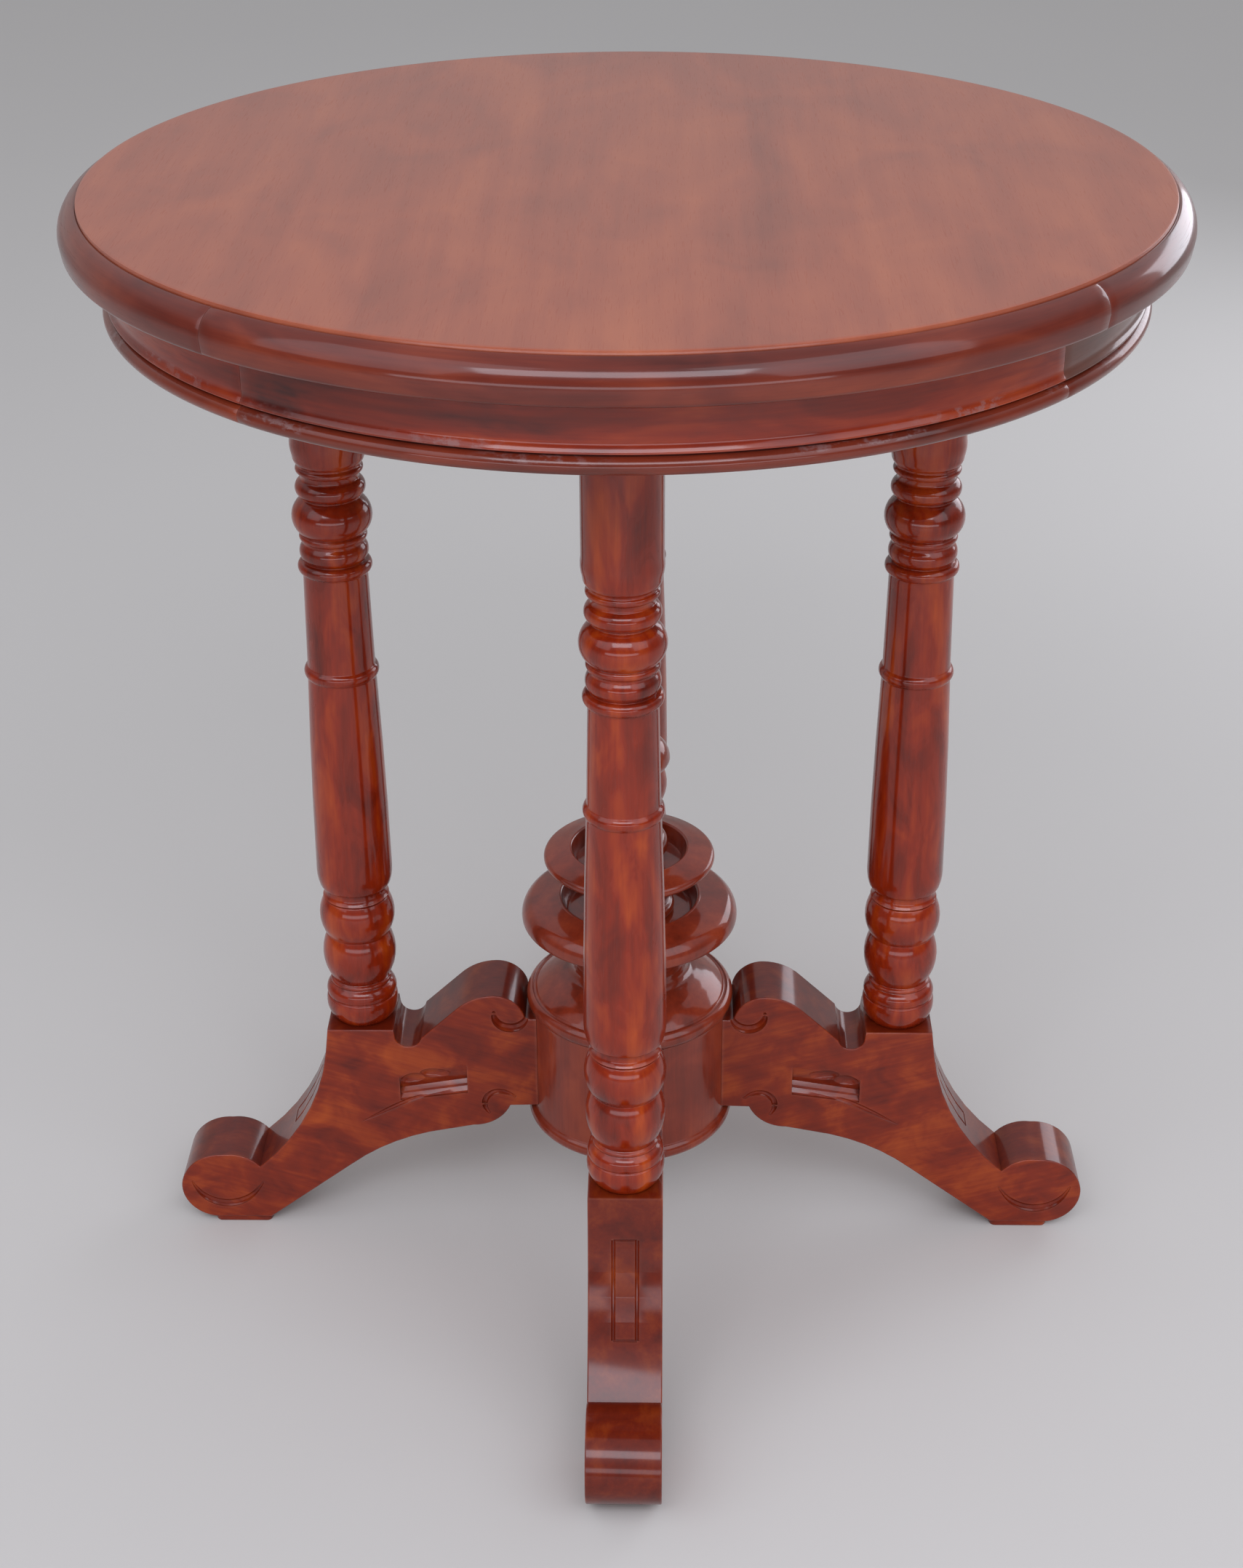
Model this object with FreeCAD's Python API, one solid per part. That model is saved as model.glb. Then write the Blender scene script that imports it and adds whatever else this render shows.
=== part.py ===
"""Round wine table: a moulded top on four turned columns, scroll legs and a turned centre drum.

Lengths are millimetres.  The origin is the middle of the floor under the table, +Z is up, and the
legs lie along -Y (front), +X (right), +Y (back) and -X (left).  Nothing on the table moves.
"""
import FreeCAD, Part
import math
import os

Vector = FreeCAD.Vector
AXIS = Vector(0, 0, 1)
ORIGIN = Vector(0, 0, 0)

# Fits shared by every joint
joint_clearance = 0.1         # play of a tenon, dowel or screw in its hole
glue_line = 0.15              # hairline between two curved faces that are glued
cut_overrun = 5.0             # how far a cutting tool runs past the face that it opens

# Top
table_height = 688.0
top_radius = 300.0            # outside of the rim moulding
board_thickness = 23.5
rim_width = 10.5              # moulding strip round the edge of the board
rim_step = 2.0                # the moulding starts this far below the board's face
rim_nose_height = 13.0        # from the moulding's widest line up to its inner edge
rim_underside_width = 6.0     # flat under the moulding, before it rounds up to the nose
apron_setback = 23.0          # from the outside of the rim in to the apron's face
apron_thickness = 18.0
apron_height = 30.0
quirk_size = 2.0              # square groove along the apron's lower edge, above the bead
bead_projection = 4.0         # how far the bead stands out from the apron's face
bead_height = 9.0
bead_width = 20.0
quarter_turn = 90.0           # the edge strips come in quarters
seam_angle = -130.0           # bearing of the first joint between the quarters

# Bearers under the top
bearer_width = 54.0
bearer_thickness = 25.0
bearer_end_gap = 1.5          # room for the bearer's end inside the apron
screw_shank_radius = 2.2
screw_head_radius = 4.4
screw_head_height = 3.2
screw_bite = 14.0             # length of the screw inside the board
glue_block_side = 15.0        # width and height of the glue blocks' triangular section
glue_block_spread = 10.0      # degrees of the circle that one glue block covers
glue_block_bearings = (28.0, 62.0)    # bearings of the two glue blocks between two legs, in degrees

# Columns
column_circle_radius = 169.0
column_radius = 21.3
column_tenon_radius = 12.0
column_top_tenon = 18.0
column_foot_tenon = 36.0

# Legs
leg_thickness = 43.0
leg_run = 102.2               # from the block out to the tip of the toe
leg_root_rise = 8.7           # the leg's top meets the drum this far above the block
leg_root_depth = 64.9         # depth of the leg where it meets the drum
block_height = 151.8          # top of the square block that carries the column
block_margin = 0.4            # the block runs this far past the column's foot
toe_height = 54.0
toe_overhang = 20.0           # from the pad out to the tip of the toe
pad_length = 37.0
pad_thickness = 4.5
pad_width = 40.0
pad_corner = 4.0
dowel_radius = 5.0
dowel_length = 44.0           # half in the leg, half in the drum

# Turned centre
drum_radius = 62.0
drum_foot = 14.6              # how far the drum hangs below the legs
drum_head = 3.5               # how far the drum rises above the legs
cap_overhang = 2.8
cap_height = 31.2
lower_collar_radius = 66.4
lower_collar_height = 45.0
lower_collar_recess = 10.0
upper_collar_radius = 52.1
upper_collar_height = 44.0
upper_collar_recess = 10.0
finial_radius = 24.8
finial_height = 87.0
pin_radius = 8.0
pin_depth = 30.0              # length of the centre pin inside the drum
pin_reach = 24.0              # length of the centre pin inside the finial

# Turning profiles, listed from the top down: height share, radius share, and the bow of the line
# that leads to the point, as a share of its chord (above zero swells outwards, below hollows).
column_shares = (
    (1.0, 1.0, 0), (0.7882, 1.0, 0), (0.7642, 0.864, 0.20),
    (0.7630, 0.887, 0), (0.7570, 0.887, 0), (0.7558, 0.761, 0), (0.7486, 0.761, 0),
    (0.7470, 0.798, 0), (0.7338, 0.798, 0.25), (0.7326, 0.779, 0), (0.7298, 0.779, 0),
    (0.7286, 0.817, 0), (0.6671, 0.808, 0.169), (0.6651, 0.789, 0), (0.6627, 0.789, 0),
    (0.6615, 0.892, 0), (0.6571, 0.892, 0), (0.6492, 0.864, -0.20),
    (0.6480, 0.920, 0), (0.6172, 0.906, 0.14), (0.6156, 0.883, 0), (0.5057, 0.934, 0),
    (0.5049, 0.962, 0), (0.4869, 0.972, 0.14), (0.4861, 0.953, 0),
    (0.2048, 1.085, 0.004), (0.1808, 0.840, 0.21), (0.1792, 0.817, 0), (0.1760, 0.817, 0),
    (0.1748, 0.901, 0), (0.1704, 0.901, 0), (0.1692, 0.911, 0), (0.1357, 0.854, 0.244),
    (0.1337, 0.831, 0), (0.1309, 0.831, 0), (0.1293, 0.854, 0), (0.0737, 0.873, 0.18),
    (0.0725, 0.920, 0), (0.0685, 0.920, 0), (0.0673, 0.892, 0), (0.0529, 1.005, 0.16),
    (0.0517, 0.972, 0), (0.0497, 0.972, 0), (0.0486, 1.009, 0), (0.0066, 0.958, 0.093),
    (0.0, 0.958, 0),
)
drum_shares = ((1.0, 1.0, 0), (0.122, 1.0, 0), (0.118, 1.012, 0), (0.012, 1.012, 0.26), (0.0, 0.985, 0))
cap_shares = (
    (1.0, 0.540, 0), (0.90, 0.540, 0), (0.70, 0.625, -0.16), (0.36, 0.900, 0.035),
    (0.31, 0.915, 0), (0.31, 0.938, 0), (0.335, 0.945, 0), (0.03, 0.972, 0.27), (0.0, 0.955, 0),
)
lower_collar_shares = (
    (0.967, 0.625, 0), (1.0, 0.665, 0.30), (0.935, 0.915, 0.03), (0.674, 1.0, 0.16),
    (0.645, 0.985, 0), (0.26, 0.640, -0.17), (0.07, 0.535, -0.05), (0.0, 0.530, 0),
)
upper_collar_shares = (
    (0.967, 0.670, 0), (1.0, 0.710, 0.30), (0.925, 0.955, 0.03), (0.812, 0.990, 0.28),
    (0.785, 0.970, 0), (0.44, 0.580, -0.15), (0.17, 0.465, -0.05), (0.15, 0.505, 0),
    (0.02, 0.505, 0.25), (0.0, 0.490, 0),
)
finial_shares = (
    (1.0, 0.0, 0), (0.975, 0.48, 0.10), (0.815, 1.0, 0.20), (0.735, 0.68, 0.16),
    (0.722, 0.72, 0), (0.700, 0.72, 0.20), (0.690, 0.56, 0), (0.30, 0.64, -0.03),
    (0.225, 0.78, -0.12), (0.215, 0.86, 0), (0.075, 0.86, 0.20), (0.065, 0.80, 0), (0.0, 0.80, 0),
)
rim_nose_bow_share = 0.20
rim_under_bow_share = 0.16
dowel_shares = (0.28, 0.72)   # heights of the dowels within the depth of the leg's root
recess_wall_share = 0.93      # floor radius of a collar's recess against its mouth

# Leg outline.  The scroll lies between the drum and the block, the slope and toe outside the block,
# and the arch between the pad and the drum: share along that span, share of the height, bow.
scroll_shares = ((0.035, 1.058, 0), (0.267, 1.170, 0.19), (0.535, 1.105, 0.098), (0.802, 0.961, 0),
                 (0.992, 0.965, -0.42))
slope_shares = ((0.020, 0.887, 0), (0.490, 0.296, -0.092))
toe_shares = ((0.715, 1.0, 0.133), (1.0, 0.570, 0.195))
toe_under_bow_share = 0.201
arch_shares = ((0.682, 0.495, 0), (0.318, 0.791, -0.067), (0.220, 0.827, 0), (0.081, 0.990, 0.154))

# Heights and radii that follow from the values above
board_underside = table_height - board_thickness
bearer_underside = board_underside - bearer_thickness
apron_underside = board_underside - apron_height
apron_radius = top_radius - apron_setback
apron_inner_radius = apron_radius - apron_thickness
bead_radius = apron_radius + bead_projection
board_radius = top_radius - rim_width
bearer_end = apron_inner_radius - bearer_end_gap
screw_inner_radius = (bearer_width / 2 + column_circle_radius - column_tenon_radius) / 2
screw_outer_radius = (column_circle_radius + column_tenon_radius + bearer_end) / 2
column_length = bearer_underside - block_height
block_reach = column_radius * column_shares[-1][1] + block_margin
block_inner = column_circle_radius - block_reach
block_outer = column_circle_radius + block_reach
leg_reach = block_outer + leg_run
leg_root_high = block_height + leg_root_rise
leg_root_low = leg_root_high - leg_root_depth
pad_outer_radius = leg_reach - toe_overhang
pad_inner_radius = pad_outer_radius - pad_length
dowel_heights = [leg_root_low + leg_root_depth * share for share in dowel_shares]
drum_bottom = leg_root_low - drum_foot
drum_top = leg_root_high + drum_head
drum_height = drum_top - drum_bottom
cap_radius = drum_radius + cap_overhang
cap_top = drum_top + cap_height
lower_floor = cap_top + lower_collar_height - lower_collar_recess
upper_floor = lower_floor + upper_collar_height - upper_collar_recess
SIDES = {"front": -90.0, "right": 0.0, "back": 90.0, "left": 180.0}


def outline(points):
    """Close a face in the XZ plane from (x, z, bow) points; a positive bow swells left of the travel."""
    corners = [Vector(x, 0, z) for x, z, _ in points]
    edges = []
    for i, (_, _, bow) in enumerate(points):
        start, end = corners[i - 1], corners[i]
        chord = end - start
        if bow:
            middle = (start + end) * 0.5 + Vector(-chord.z, 0, chord.x) * bow
            edges.append(Part.Arc(start, middle, end).toShape())
        else:
            edges.append(Part.makeLine(start, end))
    return Part.Face(Part.Wire(edges))


def revolve(points, angle=360.0):
    """Turn an XZ outline about the table's axis."""
    return outline(points).revolve(ORIGIN, AXIS, angle)


def spindle(shares, base, height, radius, foot=0.0, head=None):
    """Turn a table of shares standing on base; the core runs up to foot and down from head."""
    rings = [(radius * r, base + height * h, bow) for h, r, bow in shares]
    closing = [] if rings[-1][0] == 0 else [(foot, rings[-1][1], 0)]
    opening = [] if rings[0][0] == 0 else [(foot, rings[0][1] if head is None else head, 0)]
    return revolve(opening + rings + closing)


def rod(radius, bottom, top, x=0.0, y=0.0):
    """Upright cylinder from bottom to top."""
    return Part.makeCylinder(radius, top - bottom, Vector(x, y, bottom), AXIS)


def turned_to(shape, bearing):
    """Copy of a shape turned about the table's axis."""
    copy = shape.copy()
    copy.rotate(ORIGIN, AXIS, bearing)
    return copy


def save(name, shape):
    """Write one piece, or one group of equal pieces, under its node's name."""
    if not shape.isValid():
        raise ValueError(name + " is not a valid solid")
    shape.exportStep("parts/" + name + ".step")


def bearer_screw(along, clearance):
    """Countersunk screw on the X axis, or with a clearance the hole that takes it."""
    shank = screw_shank_radius + clearance
    tip = board_underside + screw_bite + clearance
    head = Part.makeCone(screw_head_radius + clearance, shank, screw_head_height,
                         Vector(along, 0, bearer_underside), AXIS)
    return head.fuse(rod(shank, bearer_underside, tip, x=along))


def screw_places():
    """Positions of the screws along one bearer."""
    return [sign * r for sign in (-1, 1) for r in (screw_inner_radius, screw_outer_radius)]


def make_board(holes):
    """Round top board with the pilot holes of the bearer screws."""
    return rod(board_radius, board_underside, table_height).cut(holes)


def make_rim():
    """A quarter of the rim moulding: a thumbnail over a rounded underside."""
    inner_top = table_height - rim_step
    nose = inner_top - rim_nose_height
    inside = board_radius + glue_line
    return revolve([
        (inside, board_underside, 0), (inside, inner_top, 0),
        (top_radius, nose, rim_nose_bow_share),
        (board_radius + rim_underside_width, board_underside, rim_under_bow_share),
    ], quarter_turn)


def make_apron():
    """A quarter of the apron, with the quirk along its lower edge."""
    return revolve([
        (apron_inner_radius, apron_underside, 0), (apron_inner_radius, board_underside, 0),
        (apron_radius, board_underside, 0), (apron_radius, apron_underside + quirk_size, 0),
        (apron_radius - quirk_size, apron_underside + quirk_size, 0),
        (apron_radius - quirk_size, apron_underside, 0),
    ], quarter_turn)


def make_bead():
    """A quarter of the half-round bead under the apron."""
    bottom = apron_underside - bead_height
    nose = bead_radius - bead_height / 2
    return revolve([
        (bead_radius - bead_width, bottom, 0), (bead_radius - bead_width, apron_underside, 0),
        (nose, apron_underside, 0), (nose, bottom, 0.5),
    ], quarter_turn)


def make_bearer(notch_bottom, notch_top):
    """Bearer along X with rounded ends, column mortises, screw holes and half of the crossing joint."""
    plank = Part.makeBox(2 * bearer_end, bearer_width, bearer_thickness,
                         Vector(-bearer_end, -bearer_width / 2, bearer_underside))
    plank = plank.common(rod(bearer_end, bearer_underside, board_underside))
    notch_width = bearer_width + 2 * joint_clearance
    notch = Part.makeBox(notch_width, bearer_width + cut_overrun, notch_top - notch_bottom,
                         Vector(-notch_width / 2, -(bearer_width + cut_overrun) / 2, notch_bottom))
    tools = [notch]
    for sign in (-1, 1):
        tools.append(rod(column_tenon_radius + joint_clearance, bearer_underside,
                         bearer_underside + column_top_tenon + joint_clearance,
                         x=sign * column_circle_radius))
    tools += [bearer_screw(along, joint_clearance) for along in screw_places()]
    return plank.cut(tools)


def make_glue_block():
    """Triangular block in the corner between apron and board."""
    corner = apron_inner_radius - glue_line
    return revolve([
        (corner, board_underside - glue_block_side, 0), (corner - glue_block_side, board_underside, 0),
        (corner, board_underside, 0),
    ], glue_block_spread)


def make_column():
    """Turned column on the X axis, with a round tenon at each end."""
    turning = spindle(column_shares, block_height, column_length, column_radius)
    head = rod(column_tenon_radius, bearer_underside, bearer_underside + column_top_tenon)
    foot = rod(column_tenon_radius, block_height - column_foot_tenon, block_height)
    column = turning.fuse([head, foot]).removeSplitter()
    column.translate(Vector(column_circle_radius, 0, 0))
    return column


def leg_outline():
    """Side outline of the leg along +X: scroll, block, slope, toe, pad seat and arch."""
    inside = drum_radius - leg_thickness / 2
    points = [(inside, leg_root_low, 0), (inside, leg_root_high, 0)]
    span = block_inner - drum_radius
    points += [(drum_radius + span * s, block_height * h, bow) for s, h, bow in scroll_shares]
    points += [(block_inner, block_height, 0), (block_outer, block_height, 0)]
    span = leg_reach - block_outer
    points += [(block_outer + span * s, block_height * h, bow) for s, h, bow in slope_shares]
    points += [(block_outer + span * s, toe_height * h, bow) for s, h, bow in toe_shares]
    points += [(pad_outer_radius, pad_thickness, toe_under_bow_share), (pad_inner_radius, pad_thickness, 0)]
    span = pad_inner_radius - drum_radius
    points += [(drum_radius + span * s, leg_root_low * h, bow) for s, h, bow in arch_shares]
    return outline(points)


def dowel(height, clearance):
    """Dowel across the joint of drum and leg, or with a clearance the hole that takes it."""
    length = dowel_length + 2 * clearance
    return Part.makeCylinder(dowel_radius + clearance, length,
                             Vector(drum_radius - length / 2, 0, height), Vector(1, 0, 0))


def make_leg():
    """Scroll leg along +X, hollowed to fit the drum and bored for its column and dowels."""
    leg = leg_outline().extrude(Vector(0, leg_thickness, 0))
    leg.translate(Vector(0, -leg_thickness / 2, 0))
    mortise = rod(column_tenon_radius + joint_clearance,
                  block_height - column_foot_tenon - joint_clearance, block_height,
                  x=column_circle_radius)
    drum = rod(drum_radius + glue_line, 0, table_height)
    return leg.cut([drum, mortise] + [dowel(height, joint_clearance) for height in dowel_heights])


def make_pad():
    """Wear pad under the toe."""
    pad = Part.makeBox(pad_outer_radius - pad_inner_radius, pad_width, pad_thickness,
                       Vector(pad_inner_radius, -pad_width / 2, 0))
    uprights = [e for e in pad.Edges if abs(e.tangentAt(e.FirstParameter).z) == 1]
    return pad.makeFillet(pad_corner, uprights)


def make_drum(dowel_holes):
    """Drum with its base bead, bored for the dowels and the centre pin."""
    drum = spindle(drum_shares, drum_bottom, drum_height, drum_radius)
    socket = rod(pin_radius + joint_clearance, drum_top - pin_depth - joint_clearance, drum_top)
    return drum.cut(dowel_holes + [socket])


def make_ring(shares, base, height, radius):
    """Turned ring threaded on the centre pin; its mouth, if any, starts at the first share."""
    return spindle(shares, base, height, radius, foot=pin_radius + joint_clearance)


def make_collar(shares, base, height, radius, recess):
    """Turned collar: a ring with a recess sunk in its top."""
    floor = base + height - recess
    mouth = radius * shares[0][1]
    bore = pin_radius + joint_clearance
    rings = [(radius * r, base + height * h, bow) for h, r, bow in shares]
    return revolve([(bore, base, 0), (bore, floor, 0), (mouth * recess_wall_share, floor, 0)] + rings)


def make_finial():
    """Turned finial, bored from below for the centre pin."""
    finial = spindle(finial_shares, upper_floor, finial_height, finial_radius)
    socket = rod(pin_radius + joint_clearance, upper_floor, upper_floor + pin_reach + joint_clearance)
    return finial.cut(socket)


def main():
    """Build every piece and write it to parts/."""
    os.makedirs("parts", exist_ok=True)

    screws = [turned_to(bearer_screw(along, 0), turn) for turn in (0.0, 90.0) for along in screw_places()]
    screw_holes = [turned_to(bearer_screw(along, joint_clearance), turn)
                   for turn in (0.0, 90.0) for along in screw_places()]
    save("top_board", make_board(screw_holes))
    save("bearer_screws", Part.makeCompound(screws))

    for kind, quarter in (("rim", make_rim()), ("apron", make_apron()), ("bead", make_bead())):
        for side, bearing in SIDES.items():
            save(kind + "_" + side, turned_to(quarter, bearing + seam_angle - SIDES["front"]))

    mid_height = (bearer_underside + board_underside) / 2
    save("bearer_cross", make_bearer(mid_height, board_underside + cut_overrun))
    save("bearer_fore_aft", turned_to(make_bearer(bearer_underside - cut_overrun, mid_height), 90.0))
    glue_block = turned_to(make_glue_block(), -glue_block_spread / 2)
    save("glue_blocks", Part.makeCompound([turned_to(glue_block, bearing + spot)
                                           for bearing in SIDES.values() for spot in glue_block_bearings]))

    dowels, dowel_holes = [], []
    column, leg, pad = make_column(), make_leg(), make_pad()
    for side, bearing in SIDES.items():
        save("column_" + side, turned_to(column, bearing))
        save("leg_" + side, turned_to(leg, bearing))
        save("foot_pad_" + side, turned_to(pad, bearing))
        for height in dowel_heights:
            dowels.append(turned_to(dowel(height, 0), bearing))
            dowel_holes.append(turned_to(dowel(height, joint_clearance), bearing))
    save("leg_dowels", Part.makeCompound(dowels))

    save("drum", make_drum(dowel_holes))
    save("drum_cap", make_ring(cap_shares, drum_top, cap_height, cap_radius))
    save("lower_collar", make_collar(lower_collar_shares, cap_top, lower_collar_height,
                                     lower_collar_radius, lower_collar_recess))
    save("upper_collar", make_collar(upper_collar_shares, lower_floor, upper_collar_height,
                                     upper_collar_radius, upper_collar_recess))
    save("finial", make_finial())
    save("centre_pin", rod(pin_radius, drum_top - pin_depth, upper_floor + pin_reach))


main()
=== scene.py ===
"""Looks of a round wine table: polished mahogany top, turned columns, scroll legs and turned centre.

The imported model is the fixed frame.  Lengths below are millimetres until a mesh is made, +Z is up, and
the legs lie along -Y (front), +X (right), +Y (back) and -X (left).
"""
from __future__ import annotations

import logging
import math
from dataclasses import dataclass, field
from enum import Enum
from typing import Callable, Iterator, Sequence

import bmesh
import bpy
from mathutils import Matrix, Vector

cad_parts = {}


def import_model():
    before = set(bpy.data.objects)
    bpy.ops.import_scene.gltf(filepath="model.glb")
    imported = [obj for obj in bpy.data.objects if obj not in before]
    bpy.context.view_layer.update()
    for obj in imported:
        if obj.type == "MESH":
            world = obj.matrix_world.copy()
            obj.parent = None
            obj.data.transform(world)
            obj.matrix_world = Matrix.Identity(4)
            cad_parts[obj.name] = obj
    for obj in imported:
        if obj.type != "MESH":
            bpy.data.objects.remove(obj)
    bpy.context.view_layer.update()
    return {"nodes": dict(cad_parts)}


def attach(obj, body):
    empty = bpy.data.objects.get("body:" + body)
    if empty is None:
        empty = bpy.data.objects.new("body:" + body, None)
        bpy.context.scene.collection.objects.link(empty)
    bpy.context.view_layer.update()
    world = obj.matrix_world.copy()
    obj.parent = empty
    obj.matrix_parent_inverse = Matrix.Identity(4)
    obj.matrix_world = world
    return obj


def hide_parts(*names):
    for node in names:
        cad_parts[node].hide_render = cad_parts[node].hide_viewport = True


LOG = logging.getLogger("wine_table")
MM = 0.001

Colour = tuple[float, float, float]
Tones = tuple[Colour, Colour, Colour]
Point = tuple[float, float]
Bowed = tuple[float, float, float]
Thing = bpy.types.Object


class Side(Enum):
    """The four sides of the table, by the bearing of their legs in degrees."""

    FRONT = -90.0
    RIGHT = 0.0
    BACK = 90.0
    LEFT = 180.0

    @property
    def word(self) -> str:
        """The side as it stands in the names of pieces."""
        return self.name.lower()


class Strip(Enum):
    """The kinds of edge strip, as they stand in the names of pieces."""

    RIM = "rim"
    APRON = "apron"
    BEAD = "bead"


class Grain(Enum):
    """Which way the fibres of a piece run."""

    UPRIGHT = "upright"
    FORE_AND_AFT = "fore and aft"
    SIDE_TO_SIDE = "side to side"
    ALONG_LEG = "along the leg"
    ROUND_EDGE = "round the edge"


class Signal:
    """A shader socket that takes part in arithmetic."""

    def __init__(self, recipe: "Recipe", socket: bpy.types.NodeSocket) -> None:
        """Wrap one output socket of a recipe."""
        self.recipe = recipe
        self.socket = socket

    def __add__(self, other: "Signal | float") -> "Signal":
        """Sum of two values."""
        return self.recipe.math("ADD", self, other)

    def __radd__(self, other: float) -> "Signal":
        """Sum with a number on the left."""
        return self.recipe.math("ADD", other, self)

    def __sub__(self, other: "Signal | float") -> "Signal":
        """Difference of two values."""
        return self.recipe.math("SUBTRACT", self, other)

    def __rsub__(self, other: float) -> "Signal":
        """Difference with a number on the left."""
        return self.recipe.math("SUBTRACT", other, self)

    def __mul__(self, other: "Signal | float") -> "Signal":
        """Product of two values."""
        return self.recipe.math("MULTIPLY", self, other)

    def __rmul__(self, other: float) -> "Signal":
        """Product with a number on the left."""
        return self.recipe.math("MULTIPLY", other, self)

    def __abs__(self) -> "Signal":
        """Absolute value."""
        return self.recipe.math("ABSOLUTE", self)

    def between(self, low: float, high: float) -> "Signal":
        """Smooth step of the value from low to high.

        Args:
            low: value that becomes 0.
            high: value that becomes 1.

        Returns:
            The stepped value.
        """
        return self.recipe.add(
            "ShaderNodeMapRange", {"interpolation_type": "SMOOTHSTEP"},
            {"Value": self, "From Min": low, "From Max": high})


class Recipe:
    """Node tree of one material or of the room, with the few node kinds that are used."""

    def __init__(self, owner: bpy.types.Material | bpy.types.World) -> None:
        """Empty the owner's node tree.

        Args:
            owner: the material or the world that the tree belongs to.
        """
        self.owner = owner
        owner.use_nodes = True
        self.tree = owner.node_tree
        self.tree.nodes.clear()

    @classmethod
    def named(cls, name: str) -> "Recipe":
        """Recipe of a new material."""
        return cls(bpy.data.materials.new(name))

    def add(self, kind: str, settings: dict[str, object] | None = None,
            sockets: dict[str | int, object] | None = None, out: str | int = 0) -> Signal:
        """Add a node, set it up and wire it.

        Args:
            kind: the node's type.
            settings: properties of the node; stops fills a colour ramp.
            sockets: values or signals of its inputs, by name or number.
            out: the output that is handed back.

        Returns:
            The chosen output.
        """
        node = self.tree.nodes.new(kind)
        for key, value in (settings or {}).items():
            if key == "stops":
                ramp = node.color_ramp
                while len(ramp.elements) < len(value):
                    ramp.elements.new(1.0)
                for element, (place, colour) in zip(ramp.elements, value):
                    element.position = place
                    element.color = (*colour, 1.0)
            else:
                setattr(node, key, value)
        for key, value in (sockets or {}).items():
            if isinstance(value, Signal):
                self.tree.links.new(value.socket, node.inputs[key])
            elif isinstance(value, tuple) and node.inputs[key].type == "RGBA":
                node.inputs[key].default_value = (*value, 1.0)
            else:
                node.inputs[key].default_value = value
        return Signal(self, node.outputs[out])

    def math(self, operation: str, *values: Signal | float) -> Signal:
        """Math node on up to three values."""
        return self.add("ShaderNodeMath", {"operation": operation}, dict(enumerate(values)))

    def vector(self, x: Signal | float, y: Signal | float, z: Signal | float) -> Signal:
        """Vector of three values."""
        return self.add("ShaderNodeCombineXYZ", None, {0: x, 1: y, 2: z})

    def split(self, vector: Signal) -> tuple[Signal, Signal, Signal]:
        """Three values of a vector."""
        node = self.add("ShaderNodeSeparateXYZ", None, {0: vector}).socket.node
        return tuple(Signal(self, output) for output in node.outputs)

    def noise(self, vector: Signal, detail: float = 2.0, rough: float = 0.5,
              bend: float = 0.0) -> Signal:
        """Noise at a scale of one over the vector's unit."""
        return self.add("ShaderNodeTexNoise", None, {
            "Vector": vector, "Scale": 1.0, "Detail": detail, "Roughness": rough, "Distortion": bend})

    def mix(self, factor: Signal | float, low: Signal | Colour, high: Signal | Colour) -> Signal:
        """Colour between two colours."""
        return self.add("ShaderNodeMix", {"data_type": "RGBA"}, {0: factor, 6: low, 7: high}, out=2)

    def place(self) -> tuple[Signal, Signal, Signal]:
        """The three Object coordinates, in metres."""
        return self.split(self.add("ShaderNodeTexCoord", out="Object"))

    def shut_in(self, reach: float, clear: Point, samples: int, inside: bool = False) -> Signal:
        """Mask of what lies close to other faces of the same piece.

        Args:
            reach: how far the test looks, in metres.
            clear: openness that gives 1 and openness that gives 0.
            samples: how many rays the test takes.
            inside: whether it looks into the piece, which finds its outer edges.

        Returns:
            The mask.
        """
        settings = {"samples": samples, "only_local": True, "inside": inside}
        openness = self.add("ShaderNodeAmbientOcclusion", settings, {"Distance": reach}, out="AO")
        return 1.0 - openness.between(*clear)

    def surface(self, sockets: dict[str, object]) -> bpy.types.Material:
        """Finish the tree with a principled surface.

        Args:
            sockets: values or signals of the surface's inputs.

        Returns:
            The material.
        """
        shader = self.add("ShaderNodeBsdfPrincipled", None, sockets)
        self.lead_out("ShaderNodeOutputMaterial", shader)
        return self.owner

    def lead_out(self, kind: str, shader: Signal) -> None:
        """Lead a shader to an output node."""
        node = self.tree.nodes.new(kind)
        self.tree.links.new(shader.socket, node.inputs["Surface"])


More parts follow.
